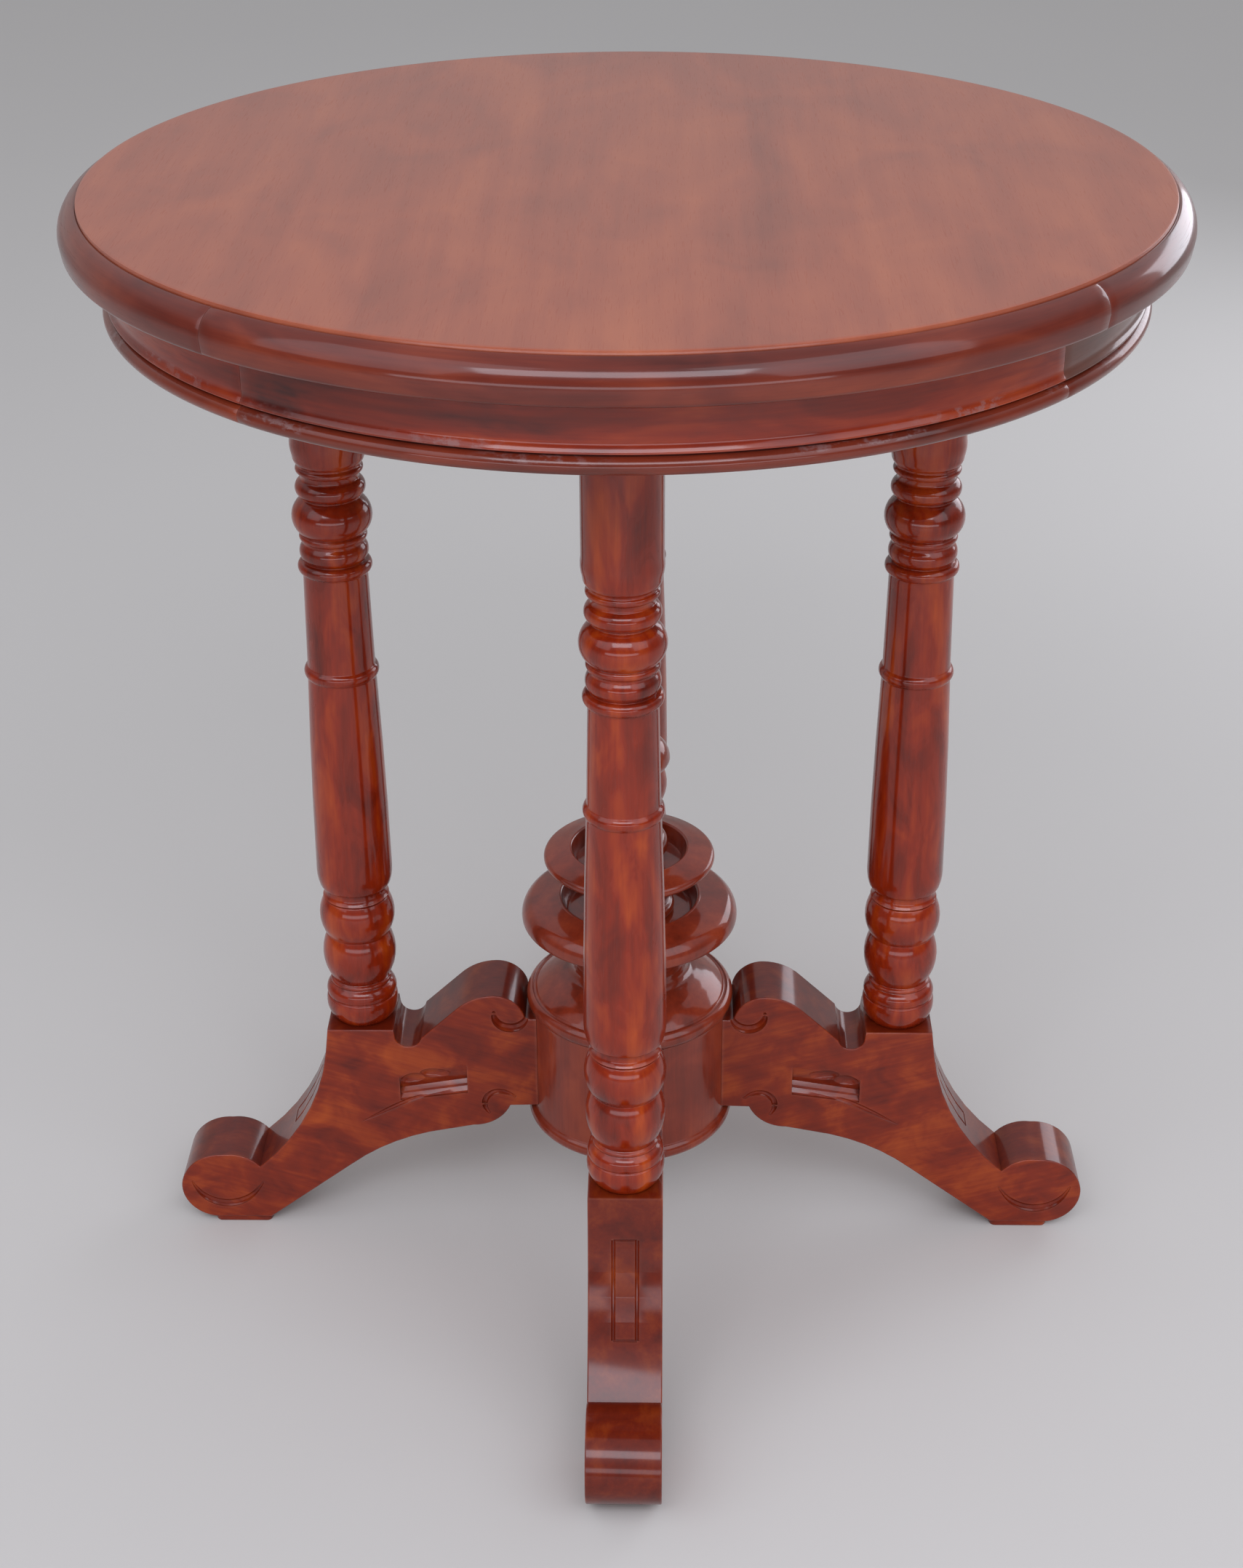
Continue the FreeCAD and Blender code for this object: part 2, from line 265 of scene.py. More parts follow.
@dataclass(frozen=True)
class Mahogany:
    """French-polished mahogany of one piece or of a set of like pieces."""

    name: str
    dark: Colour
    body: Colour
    bright: Colour
    grain: Grain
    turn: float = 0.0
    centre: Point = (0.0, 0.0)
    seed: float = 0.0
    streak: float = 0.55
    mottle: float = 0.45
    fine: float = 0.35
    # How strongly painted shade darkens the hollows.
    dirt: float = 0.6
    flank_contrast: float = 0.0
    roughness: float = 0.30
    coat: float = 0.7
    coat_roughness: float = 0.10
    ripple: float = 0.12
    sheen: float = 0.08
    run: float = 5.0
    patches: Point = (9.0, 19.0)
    # Steady rise of tone along the fibres: painted light, one end lighter than the other.
    painted_light_drift: float = 0.0
    scuffed: Point | None = None
    scuff_strength: float = 0.42
    scuff_colour: Colour = (0.27, 0.19, 0.19)
    # How much the arrises are lightened: partly edge wear, partly a painted highlight.
    edge_wear_and_highlight: float = 0.30
    contrast: float = 2.2
    fine_contrast: float = 1.1
    # Marks per metre along the fibres and across them.
    flow_marks: Point = (3.0, 9.0)
    fine_marks: Point = (11.0, 420.0)
    pore_marks: Point = (75.0, 1500.0)
    wave_marks: Point = (14.0, 40.0)
    streak_marks: float = 62.0
    knock_marks: Point = (150.0, 260.0)
    scuff_marks: float = 11.0
    # Values between which a mask changes.
    pore_steps: Point = (0.60, 0.72)
    hollow_steps: Point = (0.08, 0.58)
    arris_steps: Point = (0.45, 0.9)
    knock_steps: Point = (0.48, 0.64)
    scuff_steps: Point = (0.46, 0.62)
    flank_steps: Point = (0.25, 0.85)
    # Lengths in metres.
    flow_across: float = 0.012
    flow_through: float = 0.009
    hollow_reach: float = 0.006
    arris_reach: float = 0.0018
    ripple_height: float = 0.0006
    # Slopes, shares and plain numbers.
    coat_ior: float = 1.6
    leg_slant: float = 0.3
    edge_turn: float = 0.28
    flank_shade: float = 0.55
    # Share of the dark tone that the painted shade in the hollows takes.
    hollow_shade_level: float = 0.16

    def fibres(self, recipe: Recipe) -> tuple[Signal, Signal, Signal]:
        """Coordinates along the fibres and across them, in metres.

        Args:
            recipe: the material's recipe.

        Returns:
            Distance along the fibres, and the two distances across them.
        """
        place = recipe.add("ShaderNodeTexCoord", out="Object")
        move = Matrix.Rotation(math.radians(-self.turn), 3, "Z") @ Vector((*self.centre, 0.0))
        local = recipe.add("ShaderNodeMapping", {"vector_type": "POINT"}, {
            "Vector": place, "Rotation": (0.0, 0.0, math.radians(-self.turn)),
            "Location": (-move.x * MM, -move.y * MM, 0.0)})
        x, y, z = recipe.split(local)
        if self.grain is Grain.UPRIGHT:
            return z, x, y
        if self.grain is Grain.FORE_AND_AFT:
            return y, x, z
        if self.grain is Grain.ALONG_LEG:
            return x + self.leg_slant * z, z - self.leg_slant * x, y
        bearing = recipe.math("ARCTAN2", y, x)
        radius = recipe.math("SQRT", x * x + y * y)
        return bearing * self.edge_turn, radius, z

    def material(self) -> bpy.types.Material:
        """Build the finish: streaked and mottled wood under a glossy coat, with painted shade in the
        hollows.

        Returns:
            The finish as a material.
        """
        recipe = Recipe.named(self.name)
        along, across, through = self.fibres(recipe)
        start = self.seed

        def fibre(marks: Point, detail: float, rough: float = 0.5) -> Signal:
            """Noise with so many marks per metre along the fibres and across them."""
            long, wide = marks
            lie = recipe.vector(along * long + start, across * wide, through * wide)
            return recipe.noise(lie, detail, rough)

        flow = fibre(self.flow_marks, 2.0) - 0.5
        across = across + flow * self.flow_across
        through = through + flow * self.flow_through
        streak = fibre((self.run, self.streak_marks), 4.0, 0.6)
        fine = fibre(self.fine_marks, 3.0, 0.6)
        pore = fibre(self.pore_marks, 1.0).between(*self.pore_steps)
        far, near = self.patches
        lie = recipe.vector(along * far + start, across * near + start, through * near)
        patch = recipe.noise(lie, 3.0, 0.55, 0.6)
        # The drift term is painted light: the tone rises steadily along the fibres.
        tone = (0.5 + along * self.painted_light_drift + (streak - 0.5) * (self.contrast * self.streak)
                + (patch - 0.5) * (self.contrast * self.mottle)
                + (fine - 0.5) * (self.fine_contrast * self.fine))
        stops = ((0.0, self.dark), (0.5, self.body), (1.0, self.bright))
        colour = recipe.add("ShaderNodeValToRGB", {"stops": stops}, {"Fac": tone})
        colour = recipe.mix(pore * (0.5 * self.fine), colour, self.dark)
        if self.flank_contrast:
            edges = self.edge_faces(recipe) * self.flank_contrast
            colour = recipe.mix(edges, colour, tuple(self.flank_shade * c for c in self.dark))
        # Painted shade: hollows found by the occlusion test are darkened towards a shade tone.
        hollow = recipe.shut_in(self.hollow_reach, self.hollow_steps, 6)
        hollow_shade_tone = tuple(self.hollow_shade_level * c + 0.004 for c in self.dark)
        colour = recipe.mix(hollow * self.dirt, colour, hollow_shade_tone)
        # Arrises lightened: partly edge wear, partly a painted highlight along the edges.
        arris = recipe.shut_in(self.arris_reach, self.arris_steps, 4, inside=True)
        worn_and_lit_edge_tone = tuple(0.7 * c + 0.06 for c in self.bright)
        colour = recipe.mix(arris * patch * (2.0 * self.edge_wear_and_highlight), colour, worn_and_lit_edge_tone)
        if self.scuffed:
            scuffs = self.scuffs(recipe, through) * self.scuff_strength
            colour = recipe.mix(scuffs, colour, self.scuff_colour)
        long, wide = self.wave_marks
        wave = recipe.noise(recipe.vector(along * long, across * wide, through * wide + start), 2.0)
        relief = (fine * 0.35 + streak * 0.4 - pore * 0.5) * 0.25 + wave
        normal = recipe.add("ShaderNodeBump", None, {
            "Strength": self.ripple, "Distance": self.ripple_height, "Height": relief})
        return recipe.surface({
            "Base Color": colour, "Normal": normal,
            "Roughness": self.roughness + (patch - 0.5) * 0.10 + hollow * 0.22 + pore * 0.10,
            "Coat Weight": self.coat * (1.0 - hollow * 0.8), "Coat Roughness": self.coat_roughness,
            "Specular IOR Level": self.sheen, "Coat IOR": self.coat_ior})

    def scuffs(self, recipe: Recipe, height: Signal) -> Signal:
        """Mask of the knocks along a worn edge.

        Args:
            recipe: the material's recipe.
            height: height above the floor, in metres.

        Returns:
            A mask that is patchy between the two scuffed heights and zero elsewhere.
        """
        low, high = self.scuffed
        x, y, z = recipe.place()
        wide, tall = self.knock_marks
        knocks = recipe.noise(recipe.vector(x * wide, y * wide, z * tall + self.seed), 4.0, 0.65)
        far = self.scuff_marks
        places = recipe.noise(recipe.vector(x * far, y * far, self.seed), 2.0).between(*self.scuff_steps)
        above = height.between((low - 1.0) * MM, low * MM)
        below = 1.0 - height.between(high * MM, (high + 1.5) * MM)
        return above * below * places * knocks.between(*self.knock_steps)

    def edge_faces(self, recipe: Recipe) -> Signal:
        """Mask of the faces that don't belong to a leg's two flat sides.

        Args:
            recipe: the material's recipe.

        Returns:
            The mask.
        """
        turned = recipe.add("ShaderNodeMapping", {"vector_type": "NORMAL"}, {
            "Vector": recipe.add("ShaderNodeNewGeometry", out="Normal"),
            "Rotation": (0.0, 0.0, math.radians(-self.turn))})
        _, side, _ = recipe.split(turned)
        return 1.0 - abs(side).between(*self.flank_steps)


@dataclass(frozen=True)
class PlainTimber:
    """Unpolished secondary timber of the hidden pieces."""

    name: str
    body: Colour = (0.36, 0.22, 0.11)
    dark: Colour = (0.17, 0.09, 0.045)
    dust: Colour = (0.12, 0.09, 0.07)
    streak_marks: Point = (4.0, 130.0)
    dust_marks: float = 30.0
    grain: Grain = Grain.FORE_AND_AFT

    def material(self) -> bpy.types.Material:
        """Build the finish: pale streaked wood, dusty and matt.

        Returns:
            The finish as a material.
        """
        recipe = Recipe.named(self.name)
        x, y, z = recipe.place()
        along, across = (y, x) if self.grain is Grain.FORE_AND_AFT else (x, y)
        if self.grain is Grain.UPRIGHT:
            along, z = z, y
        long, wide = self.streak_marks
        streak = recipe.noise(recipe.vector(along * long, across * wide, z * wide), 4.0, 0.6)
        near = self.dust_marks
        dust = recipe.noise(recipe.vector(x * near, y * near, z * near), 3.0)
        colour = recipe.mix(streak.between(0.3, 0.7), self.dark, self.body)
        colour = recipe.mix(dust.between(0.45, 0.75) * 0.35, colour, self.dust)
        normal = recipe.add("ShaderNodeBump", None, {
            "Strength": 0.35, "Distance": 0.0005, "Height": streak})
        return recipe.surface({"Base Color": colour, "Roughness": 0.62 + 0.2 * streak, "Normal": normal})


@dataclass(frozen=True)
class ScrewSteel:
    """Dull steel of the wood screws."""

    name: str
    body: Colour = (0.42, 0.41, 0.40)
    tarnish: Colour = (0.16, 0.10, 0.06)
    stain_marks: float = 420.0

    def material(self) -> bpy.types.Material:
        """Build the finish: grey metal with brown tarnish.

        Returns:
            The finish as a material.
        """
        recipe = Recipe.named(self.name)
        x, y, z = recipe.place()
        near = self.stain_marks
        stain = recipe.noise(recipe.vector(x * near, y * near, z * near), 3.0).between(0.42, 0.66)
        colour = recipe.mix(stain, self.body, self.tarnish)
        return recipe.surface({"Base Color": colour, "Metallic": 1.0 - 0.6 * stain,
                               "Roughness": 0.38 + 0.35 * stain})


@dataclass(frozen=True)
class PaleFloor:
    """Plain pale paper of the studio floor."""

    name: str
    body: Colour = (0.60, 0.592, 0.567)
    tooth_marks: float = 2.0

    def material(self) -> bpy.types.Material:
        """Build the finish: matt paper with a faint tooth.

        Returns:
            The finish as a material.
        """
        recipe = Recipe.named(self.name)
        x, y, z = recipe.place()
        tooth = recipe.noise(recipe.vector(x * self.tooth_marks, y * self.tooth_marks, z), 3.0)
        colour = recipe.mix(tooth, tuple(0.98 * c for c in self.body), self.body)
        return recipe.surface({"Base Color": colour, "Roughness": 0.9, "Specular IOR Level": 0.1})


class Line:
    """Outlines in millimetres: bowed lines become points, and sharp corners are eased."""

    # A smaller turn isn't a corner, a rounding takes at most this share of a line, and the points that
    # hold a straight lie this far from its ends.
    GENTLE_TURN: float = math.radians(16.0)
    LARGEST_CUT: float = 0.42
    HOLD: float = 1.6

    @staticmethod
    def bowed(points: Sequence[Bowed], closed: bool, step: float = 9.0) -> list[Point]:
        """Follow straight and bowed lines.

        Args:
            points: corners with the bow of the line that leads to each, as a share of its chord.
            closed: whether a line leads from the last corner to the first.
            step: degrees of an arc between two points.

        Returns:
            The points of the whole line.
        """
        first = points[0]
        course = [] if closed else [(first[0], first[1])]
        for i in range(0 if closed else 1, len(points)):
            (sx, sz, _), (ex, ez, bow) = points[i - 1], points[i]
            course += Line.arc((sx, sz), (ex, ez), bow, step)
        return course

    @staticmethod
    def arc(start: Point, end: Point, bow: float, step: float) -> list[Point]:
        """Follow one line.

        Args:
            start: where it starts.
            end: where it ends.
            bow: its rise as a share of its chord; above zero it swells left of the travel.
            step: degrees of the arc between two points.

        Returns:
            Its points after the start.
        """
        if not bow:
            return [end]
        dx, dz = end[0] - start[0], end[1] - start[1]
        chord = math.hypot(dx, dz)
        rise = abs(bow) * chord
        radius = (chord * chord / 4.0 + rise * rise) / (2.0 * rise)
        sign = math.copysign(1.0, bow)
        back = sign * (rise - radius)
        cx = (start[0] + end[0]) / 2.0 - dz / chord * back
        cz = (start[1] + end[1]) / 2.0 + dx / chord * back
        sweep = -sign * 4.0 * math.atan(2.0 * abs(bow))
        begin = math.atan2(start[1] - cz, start[0] - cx)
        count = max(3, math.ceil(abs(math.degrees(sweep)) / step))
        bearings = [begin + sweep * i / count for i in range(1, count)]
        return [(cx + radius * math.cos(a), cz + radius * math.sin(a)) for a in bearings] + [end]

    @staticmethod
    def eased(course: Sequence[Point], ease: float, closed: bool) -> list[Point]:
        """Round the corners of a line and hold its long straights with extra points."""
        return Line.held(Line.rounded(course, ease, closed), closed)

    @staticmethod
    def rounded(course: Sequence[Point], ease: float, closed: bool) -> list[Point]:
        """Round the corners of a line.

        Args:
            course: the line's points.
            ease: how far from a corner the rounding starts.
            closed: whether the line is a loop.

        Returns:
            The rounded line.
        """
        count = len(course)
        result: list[Point] = []
        for i, (x, z) in enumerate(course):
            if not closed and i in (0, count - 1):
                result.append((x, z))
                continue
            (px, pz), (nx, nz) = course[i - 1], course[(i + 1) % count]
            before, after = math.hypot(x - px, z - pz), math.hypot(nx - x, nz - z)
            cross = (x - px) * (nz - z) - (z - pz) * (nx - x)
            dot = (x - px) * (nx - x) + (z - pz) * (nz - z)
            if abs(math.atan2(cross, dot)) < Line.GENTLE_TURN or min(before, after) < 1e-6:
                result.append((x, z))
                continue
            cut = min(ease, Line.LARGEST_CUT * before, Line.LARGEST_CUT * after)
            ax, az = x - (x - px) / before * cut, z - (z - pz) / before * cut
            bx, bz = x + (nx - x) / after * cut, z + (nz - z) / after * cut
            middle = (0.25 * ax + 0.5 * x + 0.25 * bx, 0.25 * az + 0.5 * z + 0.25 * bz)
            result += [(ax, az), middle, (bx, bz)]
        return result

    @staticmethod
    def held(course: Sequence[Point], closed: bool) -> list[Point]:
        """Add a point near both ends of each long straight.

        Args:
            course: the line's points.
            closed: whether the line is a loop.

        Returns:
            The line with the added points.
        """
        result: list[Point] = []
        for i, (x, z) in enumerate(course):
            if i or closed:
                px, pz = course[i - 1]
                length = math.hypot(x - px, z - pz)
                if length > 4.0 * Line.HOLD:
                    share = Line.HOLD / length
                    result += [(px + (x - px) * share, pz + (z - pz) * share),
                               (x - (x - px) * share, z - (z - pz) * share)]
            result.append((x, z))
        return result


class Part(Enum):
    """What of a mesh is picked, in the operator's own words."""

    CORNERS = "VERT"
    EDGES = "EDGE"


class Bench:
    """The modelling steps that the pieces share, each done with Blender's own operators."""

    DOUBLES: float = 0.01 * MM
    TURNED_ANGLE: float = 38.0
    CARVED_ANGLE: float = 35.0

    @staticmethod
    def clear() -> None:
        """Leave edit mode and deselect everything."""
        if bpy.context.mode != "OBJECT":
            bpy.ops.object.mode_set(mode="OBJECT")
        bpy.ops.object.select_all(action="DESELECT")

    @staticmethod
    def take(thing: Thing) -> None:
        """Select one object alone and make it active.

        Args:
            thing: the object.
        """
        Bench.clear()
        thing.select_set(True)
        bpy.context.view_layer.objects.active = thing

    @staticmethod
    def edit(thing: Thing) -> None:
        """Enter edit mode on one object alone."""
        Bench.take(thing)
        bpy.ops.object.mode_set(mode="EDIT")

    @staticmethod
    def draw(name: str, points: Sequence[Vector], closed: bool) -> Thing:
        """Draw a line by extruding one vertex from point to point, and stay in edit mode.

        Args:
            name: the new object's name.
            points: the line, in metres.
            closed: whether the ends are joined.

        Returns:
            The new object, with the whole line selected.
        """
        Bench.clear()
        bpy.ops.mesh.primitive_plane_add(size=MM)
        thing = bpy.context.object
        thing.name = thing.data.name = name
        Bench.edit(thing)
        bpy.ops.mesh.select_mode(type="VERT")
        bpy.ops.mesh.select_all(action="SELECT")
        bpy.ops.mesh.merge(type="CENTER")
        bpy.ops.transform.translate(value=points[0])
        for here, there in zip(points, points[1:]):
            bpy.ops.mesh.extrude_region_move(TRANSFORM_OT_translate={"value": there - here})
        if closed:
            Bench.pick(thing, Part.CORNERS, lambda v: len(v.link_edges) < 2)
            bpy.ops.mesh.edge_face_add()
        bpy.ops.mesh.select_all(action="SELECT")
        return thing

    @staticmethod
    def pick(thing: Thing, part: Part, wanted: Callable[..., bool]) -> None:
        """Select the corners or the edges that a test wants.

        Args:
            thing: the object, in edit mode.
            part: what is tested.
            wanted: the test of one corner or edge.
        """
        bpy.ops.mesh.select_mode(type=part.value)
        bpy.ops.mesh.select_all(action="DESELECT")
        mesh = bmesh.from_edit_mesh(thing.data)
        for item in mesh.verts if part is Part.CORNERS else mesh.edges:
            item.select = wanted(item)
        mesh.select_flush_mode()
        bmesh.update_edit_mesh(thing.data)

    @staticmethod
    def ease_flats(thing: Thing, width: float, segments: int, clamp: bool = True) -> None:
        """Bevel the edges round the faces that have more than four corners."""
        Bench.pick(thing, Part.EDGES, lambda e: any(len(f.verts) > 4 for f in e.link_faces))
        bpy.ops.mesh.bevel(offset=width * MM, segments=segments, clamp_overlap=clamp)

    @staticmethod
    def close_up() -> None:
        """Merge doubles and turn every face outwards."""
        bpy.ops.mesh.select_mode(type="VERT")
        bpy.ops.mesh.select_all(action="SELECT")
        bpy.ops.mesh.remove_doubles(threshold=Bench.DOUBLES)
        bpy.ops.mesh.normals_make_consistent(inside=False)

    @staticmethod
    def turn(name: str, course: Sequence[Point], closed: bool, steps: int,
             centre: Point = (0.0, 0.0)) -> Thing:
        """Turn a profile on the lathe.

        Args:
            name: the new object's name.
            course: radius and height of the profile's points.
            closed: whether the profile is a loop, as on a bored piece.
            steps: how many steps make the full turn.
            centre: where the lathe's axis stands.

        Returns:
            The turned piece.
        """
        points = [Vector((centre[0] + r, centre[1], z)) * MM for r, z in course]
        thing = Bench.draw(name, points, closed)
        axis = Vector((*centre, 0.0)) * MM
        bpy.ops.mesh.spin(steps=steps, angle=math.tau, center=axis, axis=(0, 0, 1))
        Bench.close_up()
        Bench.smooth(thing, Bench.TURNED_ANGLE)
        return thing

    @staticmethod
    def smooth(thing: Thing, angle: float) -> None:
        """Shade an object smooth up to an angle in degrees."""
        Bench.take(thing)
        bpy.ops.object.shade_smooth_by_angle(angle=math.radians(angle))

    @staticmethod
    def apply(thing: Thing, kind: str, **settings: object) -> None:
        """Add a modifier, set it and apply it.

        Args:
            thing: the object.
            kind: the modifier's type.
            settings: its properties.
        """
        Bench.take(thing)
        bpy.ops.object.modifier_add(type=kind)
        modifier = thing.modifiers[-1]
        for key, value in settings.items():
            setattr(modifier, key, value)
        bpy.ops.object.modifier_apply(modifier=modifier.name)

    @staticmethod
    def cut(thing: Thing, cutter: Thing) -> None:
        """Cut one object out of another and throw the cutter away.

        Args:
            thing: what is cut.
            cutter: what is cut out of it.
        """
        Bench.apply(thing, "BOOLEAN", operation="DIFFERENCE", solver="MANIFOLD", object=cutter)
        mesh = cutter.data
        bpy.data.objects.remove(cutter)
        bpy.data.meshes.remove(mesh)

    @staticmethod
    def gouge(points: Sequence[Vector], widths: Sequence[float]) -> Thing:
        """Make a round cutter that runs along a smooth line.

        Args:
            points: the line's control points, in metres.
            widths: half-width of the groove at each point, in millimetres.

        Returns:
            The cutter's mesh object.
        """
        Bench.clear()
        bpy.ops.curve.primitive_nurbs_path_add(radius=MM)
        thing = bpy.context.object
        curve = thing.data
        spline = curve.splines[0]
        spline.points.add(len(points) - len(spline.points))
        for knot, place, width in zip(spline.points, points, widths):
            knot.co = (*place, 1.0)
            knot.radius = width
        spline.order_u = 4
        spline.use_endpoint_u = True
        spline.resolution_u = 5
        curve.dimensions = "3D"
        curve.twist_mode = "Z_UP"
        curve.bevel_depth = MM
        curve.bevel_resolution = 3
        curve.use_fill_caps = True
        bpy.ops.object.convert(target="MESH")
        thing = bpy.context.object
        Bench.edit(thing)
        Bench.close_up()
        Bench.clear()
        return thing

    @staticmethod
    def copy(thing: Thing, name: str, bearing: float) -> Thing:
        """Copy a piece with its own mesh, turned about the table's axis.

        Args:
            thing: the piece.
            name: the copy's name.
            bearing: how far the copy is turned, in degrees.

        Returns:
            The copy.
        """
        Bench.take(thing)
        bpy.ops.object.duplicate(linked=False)
        other = bpy.context.object
        other.name = other.data.name = name
        other.data.transform(Matrix.Rotation(math.radians(bearing), 4, "Z"))
        return other

    @staticmethod
    def hand_in(thing: Thing, node: str, slot: str, material: bpy.types.Material) -> Thing:
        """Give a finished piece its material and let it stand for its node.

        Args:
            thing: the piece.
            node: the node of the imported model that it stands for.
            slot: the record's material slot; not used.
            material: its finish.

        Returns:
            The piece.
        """
        thing.data.materials.clear()
        thing.data.materials.append(material)
        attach(thing, "root")
        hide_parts(node)
        return thing


@dataclass(frozen=True)
class StripLook:
    """What sets the finish of one kind of edge strip apart."""

    tones: Tones
    seed: float
    scuffed: Point | None = None


STRIP_LOOKS: dict[Strip, StripLook] = {
    Strip.RIM: StripLook(
        ((0.048, 0.007, 0.005), (0.132, 0.019, 0.010), (0.235, 0.039, 0.015)), 0.0),
    Strip.APRON: StripLook(
        ((0.055, 0.006, 0.004), (0.222, 0.018, 0.004), (0.44, 0.058, 0.007)), 7.7, (636.2, 639.5)),
    Strip.BEAD: StripLook(
        ((0.060, 0.010, 0.006), (0.172, 0.025, 0.011), (0.27, 0.044, 0.015)), 15.1, (631.5, 634.5))}
FADED_APRON: Tones = ((0.085, 0.032, 0.022), (0.165, 0.056, 0.037), (0.25, 0.081, 0.051))


@dataclass
class RoundTop:
    """The board with its rim moulding, apron and bead, all edge strips in quarters."""

    height: float = 688.0
    radius: float = 300.0
    board_thickness: float = 23.5
    rim_width: float = 10.5
    rim_step: float = 2.0
    rim_nose: float = 13.0
    apron_radius: float = 277.0
    apron_thickness: float = 18.0
    apron_height: float = 30.0
    quirk: float = 1.2
    bead_radius: float = 281.0
    bead_height: float = 9.0
    bead_width: float = 20.0
    first_seam: float = -130.0
    seam_gap: float = 0.08
    nose_clearance: float = 0.05
    shelf: float = 1.3
    nose_bow: float = 0.15
    rim_lean: float = 0.9
    rim_turn: float = 2.2
    rim_return: float = 3.2
    return_bow: float = 0.16
    flare: float = 1.6
    flare_height: float = 7.5
    flare_lip: float = 0.9
    flare_bow: float = -0.12
    glue_line: float = 0.15
    board_ease: float = 0.9
    rim_ease: float = 0.5
    strip_ease: float = 0.4
    seam_bevel: float = 0.16
    board_steps: int = 192
    strip_steps: int = 64
    # Painted light on the front apron: lighter towards its right-hand end.
    front_painted_light_drift: float = 1.3
    seed_step: float = 3.3

    def build(self) -> list[Thing]:
        """Model and dress the board and the strips.

        Returns:
            The finished pieces.
        """
        inner = self.radius - self.rim_width
        under = self.height - self.board_thickness
        section = [(0.0, self.height), (inner, self.height), (inner, under), (0.0, under)]
        course = Line.eased(section, self.board_ease, False)
        board = Bench.turn("polished_board", course, False, self.board_steps)
        pieces = [Bench.hand_in(board, "top_board", "top_mahogany", self.board_finish().material())]
        courses = {Strip.RIM: self.rim_course(), Strip.APRON: self.apron_course(),
                   Strip.BEAD: self.bead_course()}
        for kind, course in courses.items():
            first = self.strip(kind, course)
            for i, side in enumerate(Side):
                turn = self.first_seam + 90.0 * i
                piece = Bench.copy(first, f"{kind.value}_strip_{side.word}", turn)
                material = self.strip_finish(kind, side, turn + 45.0).material()
                pieces.append(Bench.hand_in(piece, f"{kind.value}_{side.word}", "edge_mahogany", material))
            bpy.data.objects.remove(first)
        return pieces

    def rim_course(self) -> list[Point]:
        """Draw the rim: a narrow shelf, a thumbnail down to a crisp arris, and a face under it.

        Returns:
            Its section, radius and height.
        """
        inside = self.radius - self.rim_width + self.glue_line
        top = self.height - self.rim_step
        under = self.height - self.board_thickness
        nose = self.radius - self.nose_clearance
        points = [(inside, under, 0.0), (inside, top, 0.0), (inside + self.shelf, top, 0.0),
                  (nose, top - self.rim_nose, self.nose_bow),
                  (nose - self.rim_lean, under + self.rim_turn, 0.0),
                  (nose - self.rim_return, under, self.return_bow)]
        return Line.eased(Line.bowed(points, True), self.rim_ease, True)

    def apron_course(self) -> list[Point]:
        """Draw the apron, whose foot flares a little and ends in a quirk.

        Returns:
            Its section, radius and height.
        """
        inside, outside = self.apron_radius - self.apron_thickness, self.apron_radius
        top = self.height - self.board_thickness
        foot = top - self.apron_height
        flare = outside + self.flare
        points = [(inside, foot, 0.0), (inside, top, 0.0), (outside, top, 0.0),
                  (outside, foot + self.flare_height, 0.0),
                  (flare, foot + self.quirk + self.flare_lip, self.flare_bow),
                  (flare, foot + self.quirk, 0.0), (outside - self.quirk, foot + self.quirk, 0.0),
                  (outside - self.quirk, foot, 0.0)]
        return Line.eased(Line.bowed(points, True), self.strip_ease, True)

    def bead_course(self) -> list[Point]:
        """Draw the half-round bead.

        Returns:
            Its section, radius and height.
        """
        top = self.height - self.board_thickness - self.apron_height
        foot = top - self.bead_height
        inside, nose = self.bead_radius - self.bead_width, self.bead_radius - self.bead_height / 2.0
        points = [(inside, foot, 0.0), (inside, top, 0.0), (nose, top, 0.0), (nose, foot, 0.5)]
        return Line.eased(Line.bowed(points, True), self.strip_ease, True)

    def strip(self, kind: Strip, course: Sequence[Point]) -> Thing:
        """Spin a section through a quarter and close its ends.

        Args:
            kind: kind of strip.
            course: the section, radius and height.

        Returns:
            The strip, starting at a bearing of zero.
        """
        trim = self.seam_gap / self.radius
        start = Matrix.Rotation(trim, 3, "Z")
        points = [start @ Vector((r, 0.0, z)) * MM for r, z in course]
        thing = Bench.draw(kind.value + "_strip", points, True)
        sweep = math.pi / 2.0 - 2.0 * trim
        bpy.ops.mesh.spin(steps=self.strip_steps, angle=sweep, center=(0, 0, 0), axis=(0, 0, -1))
        for end in (trim, math.pi / 2.0 - trim):
            Bench.pick(thing, Part.CORNERS, lambda v, at=end: abs(math.atan2(v.co.y, v.co.x) - at) < 1e-4)
            bpy.ops.mesh.edge_face_add()
        Bench.close_up()
        Bench.ease_flats(thing, self.seam_bevel, 2)
        Bench.smooth(thing, Bench.TURNED_ANGLE)
        return thing

    def board_finish(self) -> Mahogany:
        """Faded, satin finish of the board."""
        return Mahogany("board_polish", (0.222, 0.044, 0.020), (0.345, 0.077, 0.034), (0.455, 0.120, 0.048),
                        Grain.FORE_AND_AFT, seed=3.1, streak=0.34, mottle=0.50, fine=0.14, dirt=0.75,
                        roughness=0.32, coat=0.5, coat_roughness=0.17, ripple=0.08, sheen=0.35, run=2.4)

